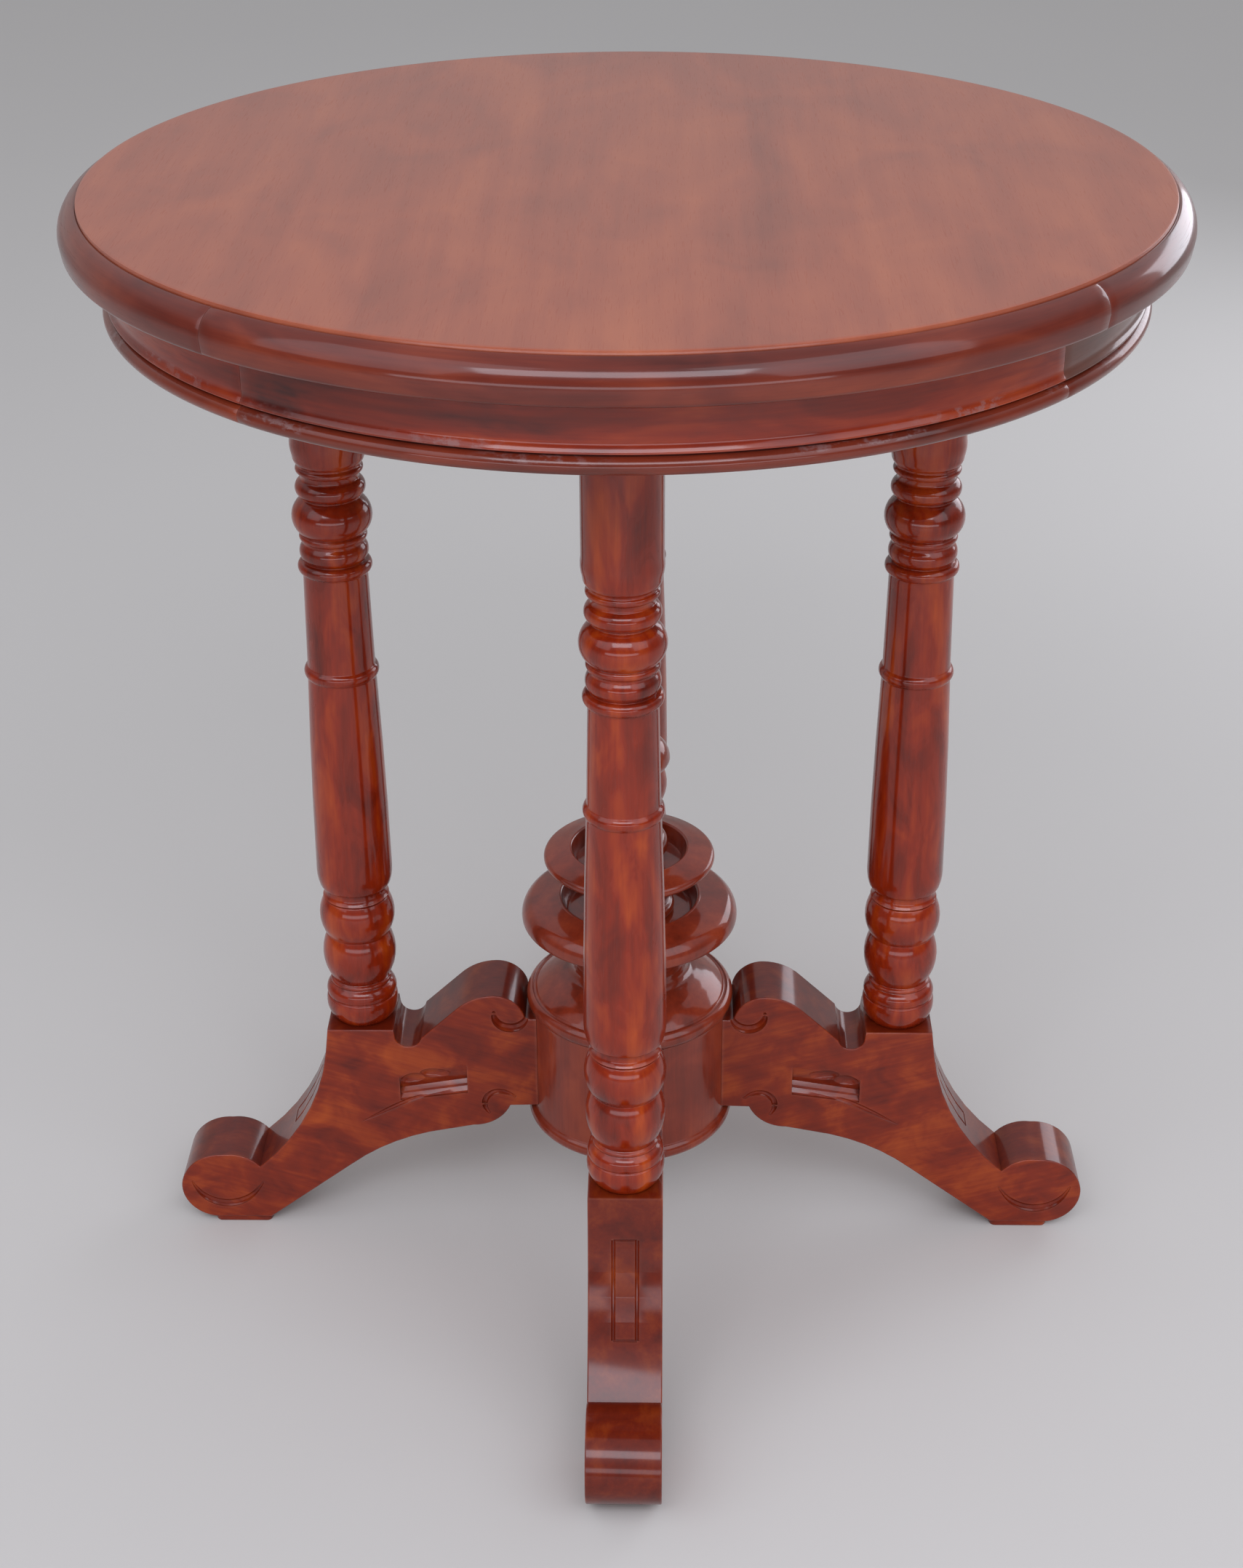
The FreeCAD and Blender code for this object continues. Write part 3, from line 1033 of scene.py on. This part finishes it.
    def strip_finish(self, kind: Strip, side: Side, turn: float) -> Mahogany:
        """Glossy finish of one edge strip.

        Args:
            kind: kind of strip.
            side: which quarter.
            turn: bearing of the quarter's middle.

        Returns:
            The finish.
        """
        look = STRIP_LOOKS[kind]
        tones = FADED_APRON if (kind, side) == (Strip.APRON, Side.RIGHT) else look.tones
        # Painted light: the front apron grows lighter towards its right-hand end.
        painted_light_drift = self.front_painted_light_drift if (kind, side) == (Strip.APRON, Side.FRONT) else 0.0
        seed = look.seed + self.seed_step * list(Side).index(side)
        return Mahogany(
            f"{kind.value}_polish_{side.word}", *tones, Grain.ROUND_EDGE, turn=turn, seed=seed, streak=0.4,
            mottle=0.6, fine=0.3, dirt=0.8, roughness=0.30, coat=0.62, coat_roughness=0.10, run=4.0,
            patches=(13.0, 42.0), painted_light_drift=painted_light_drift, scuffed=look.scuffed)


@dataclass
class TurnedColumns:
    """The four columns between the legs and the bearers."""

    circle: float = 169.0
    radius: float = 21.3
    foot: float = 151.8
    head: float = 639.5
    tenon: float = 12.0
    top_tenon: float = 18.0
    foot_tenon: float = 36.0
    ease: float = 0.55
    steps: int = 96
    # Start of the figure on the first column, and the step to the next.
    seeds: Point = (2.0, 4.7)
    # Share of the length, share of the radius, and bow of the line that leads there, from the head down.
    shares: Sequence[Bowed] = (
        (1.0, 1.0, 0), (0.7960, 1.0, 0), (0.7740, 0.966, 0.06), (0.7645, 0.880, 0.10), (0.7635, 0.850, 0),
        (0.7615, 0.850, 0), (0.7605, 0.868, 0), (0.7535, 0.868, 0.25), (0.7525, 0.800, 0),
        (0.7450, 0.780, -0.10), (0.7440, 0.800, 0), (0.7230, 0.800, 0.305), (0.7225, 0.780, 0),
        (0.7212, 0.780, 0), (0.7205, 0.800, 0), (0.6780, 0.885, 0.247), (0.6774, 0.860, 0),
        (0.6768, 0.875, 0), (0.6690, 0.875, 0.25), (0.6680, 0.835, 0), (0.6650, 0.835, 0),
        (0.6640, 0.845, 0), (0.6440, 0.860, 0.18), (0.6432, 0.845, 0), (0.6420, 0.845, 0),
        (0.6412, 0.930, 0), (0.6270, 0.905, 0.28), (0.6262, 0.880, 0), (0.5052, 0.934, 0),
        (0.5042, 0.960, 0), (0.4902, 0.965, 0.22), (0.4892, 0.948, 0),
        (0.2200, 1.085, 0.004), (0.2010, 1.020, 0.038), (0.1960, 0.885, 0.145), (0.1950, 0.850, 0),
        (0.1920, 0.860, 0), (0.1822, 0.960, -0.12), (0.1814, 0.890, 0), (0.1802, 0.890, 0),
        (0.1794, 0.930, 0), (0.1275, 0.915, 0.138), (0.1265, 0.900, 0), (0.1255, 0.915, 0),
        (0.0625, 0.835, 0.13), (0.0615, 0.815, 0), (0.0600, 0.865, 0), (0.0560, 0.885, 0.20),
        (0.0550, 0.850, 0), (0.0540, 0.870, 0), (0.0375, 1.012, 0.17), (0.0365, 0.985, 0),
        (0.0352, 0.985, 0), (0.0344, 1.020, 0), (0.0, 0.810, 0.14))

    def build(self) -> list[Thing]:
        """Turn one column, copy it and dress each copy.

        Returns:
            The finished columns.
        """
        length = self.head - self.foot
        top, bottom = self.head + self.top_tenon, self.foot - self.foot_tenon
        rings = [(self.radius * r, self.foot + length * h, bow) for h, r, bow in self.shares]
        points = [(0.0, top, 0), (self.tenon, top, 0), (self.tenon, self.head, 0), *rings,
                  (self.tenon, self.foot, 0), (self.tenon, bottom, 0), (0.0, bottom, 0)]
        course = Line.eased(Line.bowed(points, False), self.ease, False)
        first = Bench.turn("column", course, False, self.steps, (self.circle, 0.0))
        pieces: list[Thing] = []
        start, step = self.seeds
        for i, side in enumerate(Side):
            piece = Bench.copy(first, f"turned_column_{side.word}", side.value)
            material = self.finish(side, start + step * i).material()
            pieces.append(Bench.hand_in(piece, f"column_{side.word}", "column_mahogany", material))
        bpy.data.objects.remove(first)
        return pieces

    def finish(self, side: Side, seed: float) -> Mahogany:
        """Glossy finish of one column, whose figure is centred on its axis.

        Args:
            side: where the column stands.
            seed: start of its figure.

        Returns:
            The finish.
        """
        bearing = math.radians(side.value)
        axis = (self.circle * math.cos(bearing), self.circle * math.sin(bearing))
        return Mahogany(
            f"column_polish_{side.word}", (0.070, 0.005, 0.002), (0.240, 0.017, 0.002), (0.46, 0.066, 0.004),
            Grain.UPRIGHT, centre=axis, seed=seed, streak=0.35, mottle=0.62, fine=0.3, dirt=0.9,
            roughness=0.28, coat=0.66, coat_roughness=0.11, patches=(20.0, 62.0))


@dataclass
class Groove:
    """A carved line on a leg: its course and its half-widths, in millimetres."""

    course: Sequence[Point]
    widths: Sequence[float]


@dataclass
class ScrollLegs:
    """The four carved legs with the pads under their toes."""

    thickness: float = 43.0
    drum_radius: float = 62.0
    block_inner: float = 148.2
    block_outer: float = 189.8
    block_height: float = 151.8
    reach: float = 292.0
    root_low: float = 95.6
    root_high: float = 160.5
    toe_height: float = 54.0
    pad_inner: float = 235.0
    pad_outer: float = 272.0
    pad_thickness: float = 4.5
    pad_width: float = 40.0
    pad_corner: float = 4.0
    pad_arris: float = 0.6
    arris: float = 0.9
    cope_gap: float = 0.15
    cope_depth: float = 300.0
    gouge_lift: float = 0.25
    speck: float = 0.02
    # Start of the figure on the first leg, and the step to the next.
    seeds: Point = (5.0, 6.1)
    # Share of a span along the leg, share of a height, and bow of the line that leads there.
    scroll: Sequence[Bowed] = (
        (0.035, 1.058, 0), (0.267, 1.170, 0.19), (0.535, 1.105, 0.098), (0.802, 0.961, 0),
        (0.992, 0.965, -0.42))
    slope: Sequence[Bowed] = ((0.020, 0.887, 0), (0.490, 0.296, -0.092))
    toe: Sequence[Bowed] = ((0.715, 1.0, 0.133), (1.0, 0.570, 0.195))
    toe_under_bow: float = 0.201
    arch: Sequence[Bowed] = (
        (0.682, 0.495, 0), (0.318, 0.791, -0.067), (0.220, 0.827, 0), (0.081, 0.990, 0.154))
    tablet_half_width: float = 6.8
    tablet_top: float = 126.5
    tablet_foot: float = 69.5
    tablet_groove: float = 1.3
    tablet_end_groove: float = 0.8
    # The pocket runs between these points; its section is given as distance out of the face and height.
    pocket_line: Sequence[Point] = ((103.0, 112.5), (146.0, 105.0))
    pocket: Sequence[Point] = (
        (0.6, 16.0), (-5.0, 0.0), (-2.9, -2.3), (-2.9, -4.2), (-0.8, -6.5), (-0.8, -8.0), (0.6, -8.0))
    pocket_taper: float = 0.82
    # Radius, height, half-length, half-height, depth and tilt in degrees.
    scoops: Sequence[tuple[float, ...]] = (
        (137.0, 113.5, 9.0, 6.0, 4.6, 12.0), (122.0, 118.0, 11.0, 5.0, 3.8, -8.0))

    def outline(self) -> list[Point]:
        """Draw a leg from the side.

        Returns:
            Its outline, radius and height.
        """
        inside = self.drum_radius - self.thickness / 2.0
        points = [(inside, self.root_low, 0.0), (inside, self.root_high, 0.0)]
        span = self.block_inner - self.drum_radius
        points += [(self.drum_radius + span * s, self.block_height * h, bow) for s, h, bow in self.scroll]
        points += [(self.block_inner, self.block_height, 0.0), (self.block_outer, self.block_height, 0.0)]
        span = self.reach - self.block_outer
        points += [(self.block_outer + span * s, self.block_height * h, bow) for s, h, bow in self.slope]
        points += [(self.block_outer + span * s, self.toe_height * h, bow) for s, h, bow in self.toe]
        points += [(self.pad_outer, self.pad_thickness, self.toe_under_bow),
                   (self.pad_inner, self.pad_thickness, 0.0)]
        span = self.pad_inner - self.drum_radius
        points += [(self.drum_radius + span * s, self.root_low * h, bow) for s, h, bow in self.arch]
        return Line.bowed(points, True, 6.0)

    def grooves(self) -> list[Groove]:
        """Draw the carved lines of a leg's flat side.

        Returns:
            The upper and the lower volute, the toe's crescent, and the line that trails from the pocket.
        """
        upper = self.spiral((75.0, 164.5), (
            (176, 11.4), (200, 11.2), (224, 11.0), (248, 10.8), (272, 10.6), (298, 10.5), (326, 10.4),
            (352, 10.2), (14, 9.8)))
        lower = self.spiral((82.5, 95.5), (
            (150, 11.6), (125, 11.0), (95, 10.8), (65, 10.7), (35, 10.6), (5, 10.4), (-22, 10.0),
            (-45, 9.4)))
        crescent = self.spiral((263.0, 38.0), (
            (-12, 22.6), (-36, 23.2), (-62, 23.3), (-90, 23.2), (-116, 23.2), (-142, 23.8), (-168, 25.0)))
        trail = ((118.0, 105.2), (131.0, 102.6), (144.5, 97.0), (158.5, 88.8), (171.5, 81.6))
        return [Groove(upper, (0.7, 2.0, 3.0, 3.5, 3.6, 3.4, 2.8, 1.9, 0.8)),
                Groove(lower, (0.9, 1.6, 2.1, 2.3, 2.2, 2.0, 1.5, 0.8)),
                Groove(crescent, (0.6, 2.0, 2.9, 3.3, 2.9, 1.9, 0.6)),
                Groove(trail, (0.5, 1.6, 2.3, 1.7, 0.4))]

    @staticmethod
    def spiral(centre: Point, stops: Sequence[Point]) -> list[Point]:
        """Course round a centre, through stops given by bearing in degrees and distance."""
        return [(centre[0] + r * math.cos(math.radians(a)), centre[1] + r * math.sin(math.radians(a)))
                for a, r in stops]

    def build(self) -> list[Thing]:
        """Carve one leg, copy it with its pad and dress the copies.

        Returns:
            The finished legs and pads.
        """
        first, pad = self.carve(), self.pad()
        pieces: list[Thing] = []
        start, step = self.seeds
        for i, side in enumerate(Side):
            material = self.finish(side, start + step * i).material()
            leg = Bench.copy(first, f"carved_leg_{side.word}", side.value)
            pieces.append(Bench.hand_in(leg, f"leg_{side.word}", "leg_mahogany", material))
            foot = Bench.copy(pad, f"toe_pad_{side.word}", side.value)
            pieces.append(Bench.hand_in(foot, f"foot_pad_{side.word}", "leg_mahogany", material))
        bpy.data.objects.remove(first)
        bpy.data.objects.remove(pad)
        return pieces

    def finish(self, side: Side, seed: float) -> Mahogany:
        """Mottled finish of one leg, darker on its edges than on its flat sides."""
        return Mahogany(
            f"leg_polish_{side.word}", (0.074, 0.007, 0.004), (0.208, 0.019, 0.004), (0.39, 0.062, 0.007),
            Grain.ALONG_LEG, turn=side.value, seed=seed, streak=0.2, mottle=0.66, fine=0.4, dirt=0.9,
            flank_contrast=0.45, roughness=0.32, coat=0.52, coat_roughness=0.12, run=9.0,
            patches=(34.0, 48.0))

    def blank(self) -> Thing:
        """Saw the leg's blank and ease its arrises.

        Returns:
            The blank.
        """
        half = self.thickness / 2.0
        thing = Bench.draw("leg", [Vector((r, -half, z)) * MM for r, z in self.outline()], True)
        bpy.ops.mesh.edge_face_add()
        bpy.ops.mesh.extrude_region_move(TRANSFORM_OT_translate={"value": (0.0, self.thickness * MM, 0.0)})
        Bench.close_up()
        Bench.ease_flats(thing, self.arris, 3)
        Bench.clear()
        return thing

    def carve(self) -> Thing:
        """Fit the blank to the drum, then cut volutes, pocket and tablet.

        Returns:
            The carved leg, along +X.
        """
        thing = self.blank()
        bpy.ops.mesh.primitive_cylinder_add(
            vertices=128, radius=(self.drum_radius + self.cope_gap) * MM, depth=self.cope_depth * MM,
            location=(0, 0, self.root_low * MM))
        drum = bpy.context.object
        bpy.ops.object.transform_apply()
        Bench.cut(thing, drum)
        for side in (-1.0, 1.0):
            for cutter in self.chips(side):
                Bench.cut(thing, cutter)
            for groove in self.grooves():
                face = side * (self.thickness / 2.0 + self.gouge_lift)
                points = [Vector((r, face, z)) * MM for r, z in groove.course]
                Bench.cut(thing, Bench.gouge(points, groove.widths))
        for cutter in self.tablet():
            Bench.cut(thing, cutter)
        Bench.edit(thing)
        Bench.close_up()
        bpy.ops.mesh.dissolve_degenerate(threshold=self.speck * MM)
        bpy.ops.mesh.quads_convert_to_tris()
        Bench.smooth(thing, Bench.CARVED_ANGLE)
        Bench.apply(thing, "WEIGHTED_NORMAL", keep_sharp=True)
        return thing

    def chips(self, side: float) -> Iterator[Thing]:
        """Make the cutters of the chip-carved pocket on one flat side, with its two ledges.

        Args:
            side: -1 or 1, the side of the leg.

        Returns:
            The cutters.
        """
        face = side * self.thickness / 2.0
        (near, line), (far, drop) = self.pocket_line
        section = [Vector((near, face + side * out, line + up)) * MM for out, up in self.pocket]
        wedge = Bench.draw("pocket", section, True)
        bpy.ops.mesh.edge_face_add()
        run = Vector((far - near, 0.0, drop - line)) * MM
        bpy.ops.mesh.extrude_region_move(TRANSFORM_OT_translate={"value": run})
        end = Vector((far, face, drop)) * MM
        bpy.ops.transform.resize(value=(1.0, 1.0, self.pocket_taper), center_override=end)
        Bench.close_up()
        Bench.clear()
        yield wedge
        for r, z, long, tall, deep, tilt in self.scoops:
            Bench.clear()
            bpy.ops.mesh.primitive_uv_sphere_add(
                segments=28, ring_count=14, radius=1.0, location=Vector((r, face, z)) * MM,
                rotation=(0.0, math.radians(tilt), 0.0), scale=(long * MM, deep * MM, tall * MM))
            scoop = bpy.context.object
            bpy.ops.object.transform_apply()
            yield scoop

    def tablet(self) -> Iterator[Thing]:
        """Make the cutters of the narrow tablet's outline on the leg's outer face.

        Returns:
            The cutters.
        """
        span = self.reach - self.block_outer
        (s0, h0, _), (s1, h1, bow) = self.slope
        start = (self.block_outer + span * s0, self.block_height * h0)
        end = (self.block_outer + span * s1, self.block_height * h1)
        course = [start] + Line.arc(start, end, bow, 2.0)
        face = [p for p in course if self.tablet_foot < p[1] < self.tablet_top]
        w = self.tablet_half_width
        for y in (-w, w):
            yield Bench.gouge([Vector((r, y, z)) * MM for r, z in face], [self.tablet_groove] * len(face))
        for r, z in (face[0], face[-1]):
            across = [Vector((r, w * (i - 2) / 2.0, z)) * MM for i in range(5)]
            yield Bench.gouge(across, [self.tablet_end_groove] * len(across))

    def pad(self) -> Thing:
        """Plane the thin pad under a toe.

        Returns:
            The pad, along +X.
        """
        Bench.clear()
        size = Vector((self.pad_outer - self.pad_inner, self.pad_width, self.pad_thickness)) * MM
        middle = Vector(((self.pad_inner + self.pad_outer) / 2.0, 0.0, self.pad_thickness / 2.0)) * MM
        bpy.ops.mesh.primitive_cube_add(size=1.0, scale=size, location=middle)
        thing = bpy.context.object
        thing.name = thing.data.name = "pad"
        bpy.ops.object.transform_apply()
        Bench.edit(thing)
        Bench.pick(thing, Part.EDGES, lambda e: abs(e.verts[0].co.z - e.verts[1].co.z) > MM)
        bpy.ops.mesh.bevel(offset=self.pad_corner * MM, segments=5)
        Bench.ease_flats(thing, self.pad_arris, 2, clamp=False)
        Bench.smooth(thing, Bench.CARVED_ANGLE)
        return thing


@dataclass
class TurnedCentre:
    """The drum with its cap, the two collars and the finial, all threaded on one pin."""

    bore: float = 8.1
    drum_bottom: float = 81.0
    drum_top: float = 164.0
    drum_radius: float = 62.0
    cap_radius: float = 64.8
    cap_height: float = 31.2
    lower_radius: float = 66.4
    lower_height: float = 45.0
    upper_radius: float = 52.1
    upper_height: float = 44.0
    recess: float = 10.0
    recess_wall: float = 0.93
    finial_radius: float = 24.8
    finial_height: float = 87.0
    ease: float = 0.6
    steps: int = 128
    heart: Point = (9.0, -6.0)
    # Share of the height, share of the radius, and bow of the line that leads there, from the top down.
    drum: Sequence[Bowed] = (
        (1.0, 1.0, 0), (0.122, 1.0, 0), (0.118, 1.012, 0), (0.012, 1.012, 0.26), (0.0, 0.985, 0))
    cap: Sequence[Bowed] = (
        (1.0, 0.540, 0), (0.90, 0.540, 0), (0.70, 0.625, -0.16), (0.36, 0.900, 0.035),
        (0.31, 0.915, 0), (0.31, 0.938, 0), (0.335, 0.945, 0), (0.03, 0.972, 0.27), (0.0, 0.955, 0))
    lower: Sequence[Bowed] = (
        (0.967, 0.625, 0), (1.0, 0.665, 0.30), (0.935, 0.915, 0.03), (0.674, 1.0, 0.16),
        (0.645, 0.985, 0), (0.26, 0.640, -0.17), (0.07, 0.535, -0.05), (0.0, 0.530, 0))
    upper: Sequence[Bowed] = (
        (0.967, 0.670, 0), (1.0, 0.710, 0.30), (0.925, 0.955, 0.03), (0.812, 0.990, 0.28),
        (0.785, 0.970, 0), (0.44, 0.580, -0.15), (0.17, 0.465, -0.05), (0.15, 0.505, 0),
        (0.02, 0.505, 0.25), (0.0, 0.490, 0))
    finial: Sequence[Bowed] = (
        (1.0, 0.0, 0), (0.975, 0.48, 0.10), (0.815, 1.0, 0.20), (0.735, 0.68, 0.16),
        (0.722, 0.72, 0), (0.700, 0.72, 0.20), (0.690, 0.56, 0), (0.30, 0.64, -0.03),
        (0.225, 0.78, -0.12), (0.215, 0.86, 0), (0.075, 0.86, 0.20), (0.065, 0.80, 0), (0.0, 0.80, 0))

    def build(self) -> list[Thing]:
        """Turn and dress the five pieces from the floor up.

        Returns:
            The finished pieces.
        """
        cap_top = self.drum_top + self.cap_height
        lower_floor = cap_top + self.lower_height - self.recess
        upper_floor = lower_floor + self.upper_height - self.recess
        drum = self.rings(self.drum, self.drum_bottom, self.drum_top - self.drum_bottom, self.drum_radius)
        cap = self.rings(self.cap, self.drum_top, self.cap_height, self.cap_radius)
        lower = self.collar(self.lower, cap_top, self.lower_height, self.lower_radius)
        upper = self.collar(self.upper, lower_floor, self.upper_height, self.upper_radius)
        finial = self.rings(self.finial, upper_floor, self.finial_height, self.finial_radius)
        bored = [(self.bore, self.drum_top, 0), (self.bore, cap_top, 0)]
        return [
            self.piece("drum", [(0.0, self.drum_top, 0), *drum, (0.0, self.drum_bottom, 0)], False, 1.0),
            self.piece("drum_cap", bored + cap, True, 4.0),
            self.piece("lower_collar", lower, True, 9.0),
            self.piece("upper_collar", upper, True, 13.0),
            self.piece("finial", [*finial, (0.0, upper_floor, 0)], False, 17.0)]

    @staticmethod
    def rings(shares: Sequence[Bowed], base: float, height: float, radius: float) -> list[Bowed]:
        """Turn a table of shares into radii and heights."""
        return [(radius * r, base + height * h, bow) for h, r, bow in shares]

    def collar(self, shares: Sequence[Bowed], base: float, height: float, radius: float) -> list[Bowed]:
        """Draw a collar with a recess sunk in its top.

        Args:
            shares: its outside, as shares of its height and radius.
            base: height of its underside.
            height: how tall it is.
            radius: its radius.

        Returns:
            Its section.
        """
        floor = base + height - self.recess
        mouth = radius * shares[0][1]
        bored = [(self.bore, base, 0), (self.bore, floor, 0), (mouth * self.recess_wall, floor, 0)]
        return bored + self.rings(shares, base, height, radius)

    def piece(self, node: str, points: Sequence[Bowed], closed: bool, seed: float) -> Thing:
        """Turn one piece and hand it in.

        Args:
            node: the node that it stands for.
            points: its section.
            closed: whether it is bored right through.
            seed: start of its figure.

        Returns:
            The piece.
        """
        course = Line.eased(Line.bowed(points, closed), self.ease, closed)
        thing = Bench.turn("turned_" + node, course, closed, self.steps)
        finish = Mahogany(
            node + "_polish", (0.072, 0.010, 0.005), (0.220, 0.027, 0.010), (0.35, 0.056, 0.017),
            Grain.UPRIGHT, centre=self.heart, seed=seed, streak=0.4, mottle=0.55, fine=0.3, dirt=0.9,
            roughness=0.30, coat=0.7, coat_roughness=0.09, patches=(24.0, 30.0))
        return Bench.hand_in(thing, node, "centre_mahogany", finish.material())


@dataclass
class HiddenWork:
    """The unpolished pieces under the top and inside the base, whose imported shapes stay."""

    nodes: dict[str, Thing]
    finishes: dict[str, PlainTimber | ScrewSteel] = field(default_factory=lambda: {
        "bearer_cross": PlainTimber("bearer_timber_cross", grain=Grain.SIDE_TO_SIDE),
        "bearer_fore_aft": PlainTimber("bearer_timber_fore_aft"),
        "glue_blocks": PlainTimber("block_timber", (0.40, 0.26, 0.13)),
        "leg_dowels": PlainTimber("dowel_timber"),
        "centre_pin": PlainTimber("pin_timber", grain=Grain.UPRIGHT),
        "bearer_screws": ScrewSteel("screw_steel_dull")})

    def build(self) -> list[Thing]:
        """Give each hidden piece its finish.

        Returns:
            The pieces.
        """
        for node, finish in self.finishes.items():
            mesh = self.nodes[node].data
            mesh.materials.clear()
            mesh.materials.append(finish.material())
        return [self.nodes[node] for node in self.finishes]


@dataclass
class Studio:
    """Floor, light and camera; the camera's place is in millimetres and its angles are in degrees."""

    place: tuple[float, float, float] = (21.7, -1342.9, 1048.0)
    pan: float = -1.115
    pitch: float = 28.559
    roll: float = -0.318
    lens: float = 58.2
    sensor: float = 36.0
    floor_size: float = 24.0
    wall: Colour = (0.16, 0.15, 0.15)
    back_wall: Colour = (0.42, 0.40, 0.40)
    back_starts: Point = (0.1, 0.7)
    ceiling: Colour = (0.58, 0.58, 0.62)
    ceiling_starts: Point = (0.22, 0.62)
    # Name, bearing in degrees, height, power, and width and height of the lamp itself.
    lamps: Sequence[tuple[str, float, float, float, Point]] = (
        ("left_light", -142.0, 2.17, 16.0, (1.95, 2.4)), ("low_light", -92.0, 0.47, 11.0, (3.6, 0.36)),
        ("high_light", -92.0, 2.40, 33.0, (2.3, 0.9)), ("right_light", -42.0, 2.17, 20.0, (1.95, 2.4)),
        ("back_light", 46.0, 0.95, 11.0, (1.3, 0.9)))
    lamp_reach: float = 2.2
    lamp_aim: float = 0.45
    lamp_tint: Colour = (0.90, 0.91, 1.0)

    def build(self) -> None:
        """Lay the floor, hang the lights and set up the camera."""
        self.floor()
        for name, bearing, height, power, size in self.lamps:
            self.softbox(name, math.radians(bearing), height, power, size)
        self.room()
        self.camera()
        bpy.context.scene.view_settings.view_transform = "Standard"

    def floor(self) -> None:
        """Lay a wide pale floor."""
        Bench.clear()
        bpy.ops.mesh.primitive_plane_add(size=self.floor_size)
        floor = bpy.context.object
        floor.name = "studio_floor"
        floor.data.materials.append(PaleFloor("floor_paper").material())

    def softbox(self, name: str, bearing: float, height: float, power: float, size: Point) -> None:
        """Hang one broad soft light that faces the table.

        Args:
            name: its name.
            bearing: the direction in which it hangs, in radians.
            height: how high its middle hangs, in metres.
            power: its power in watts.
            size: its width and height, in metres.
        """
        aim = Vector((0.0, 0.0, self.lamp_aim))
        reach = self.lamp_reach
        place = Vector((reach * math.cos(bearing), reach * math.sin(bearing), height))
        bpy.ops.object.light_add(type="AREA", location=place)
        lamp = bpy.context.object
        lamp.name = name
        lamp.data.shape = "RECTANGLE"
        lamp.data.size, lamp.data.size_y = size
        lamp.data.energy = power
        lamp.data.color = self.lamp_tint
        lamp.rotation_euler = (aim - place).to_track_quat("-Z", "Y").to_euler()

    def room(self) -> None:
        """Fill the room with even light: a pale back wall and ceiling, and darker walls elsewhere."""
        recipe = Recipe(bpy.data.worlds.new("studio_room"))
        _, away, up = recipe.split(recipe.add("ShaderNodeTexCoord", out="Generated"))
        wall = recipe.mix(away.between(*self.back_starts), self.wall, self.back_wall)
        tint = recipe.mix(up.between(*self.ceiling_starts), wall, self.ceiling)
        recipe.lead_out("ShaderNodeOutputWorld", recipe.add("ShaderNodeBackground", None, {"Color": tint}))
        bpy.context.scene.world = recipe.owner

    def camera(self) -> None:
        """Place the camera at the photograph's viewpoint."""
        pan, pitch, roll = (math.radians(a) for a in (self.pan, self.pitch, self.roll))
        ahead = Vector((math.sin(pan) * math.cos(pitch), math.cos(pan) * math.cos(pitch), -math.sin(pitch)))
        level = Vector((math.cos(pan), -math.sin(pan), 0.0))
        rise = level.cross(ahead)
        right = level * math.cos(roll) + rise * math.sin(roll)
        up = rise * math.cos(roll) - level * math.sin(roll)
        bpy.ops.object.camera_add()
        camera = bpy.context.object
        camera.name = "viewpoint"
        camera.data.sensor_width = self.sensor
        camera.data.lens = self.lens
        turn = Matrix((right, up, -ahead)).transposed().to_4x4()
        camera.matrix_world = Matrix.Translation(Vector(self.place) * MM) @ turn
        bpy.context.scene.camera = camera


def main() -> None:
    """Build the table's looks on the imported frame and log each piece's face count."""
    logging.basicConfig(level=logging.INFO, format="%(name)s: %(message)s")
    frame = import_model()
    makers = (RoundTop(), TurnedColumns(), ScrollLegs(), TurnedCentre(), HiddenWork(frame["nodes"]))
    for maker in makers:
        for piece in maker.build():
            LOG.info("%s: %d faces", piece.name, len(piece.data.polygons))
    Studio().build()
    bpy.context.view_layer.update()


if __name__ == "__main__":
    main()
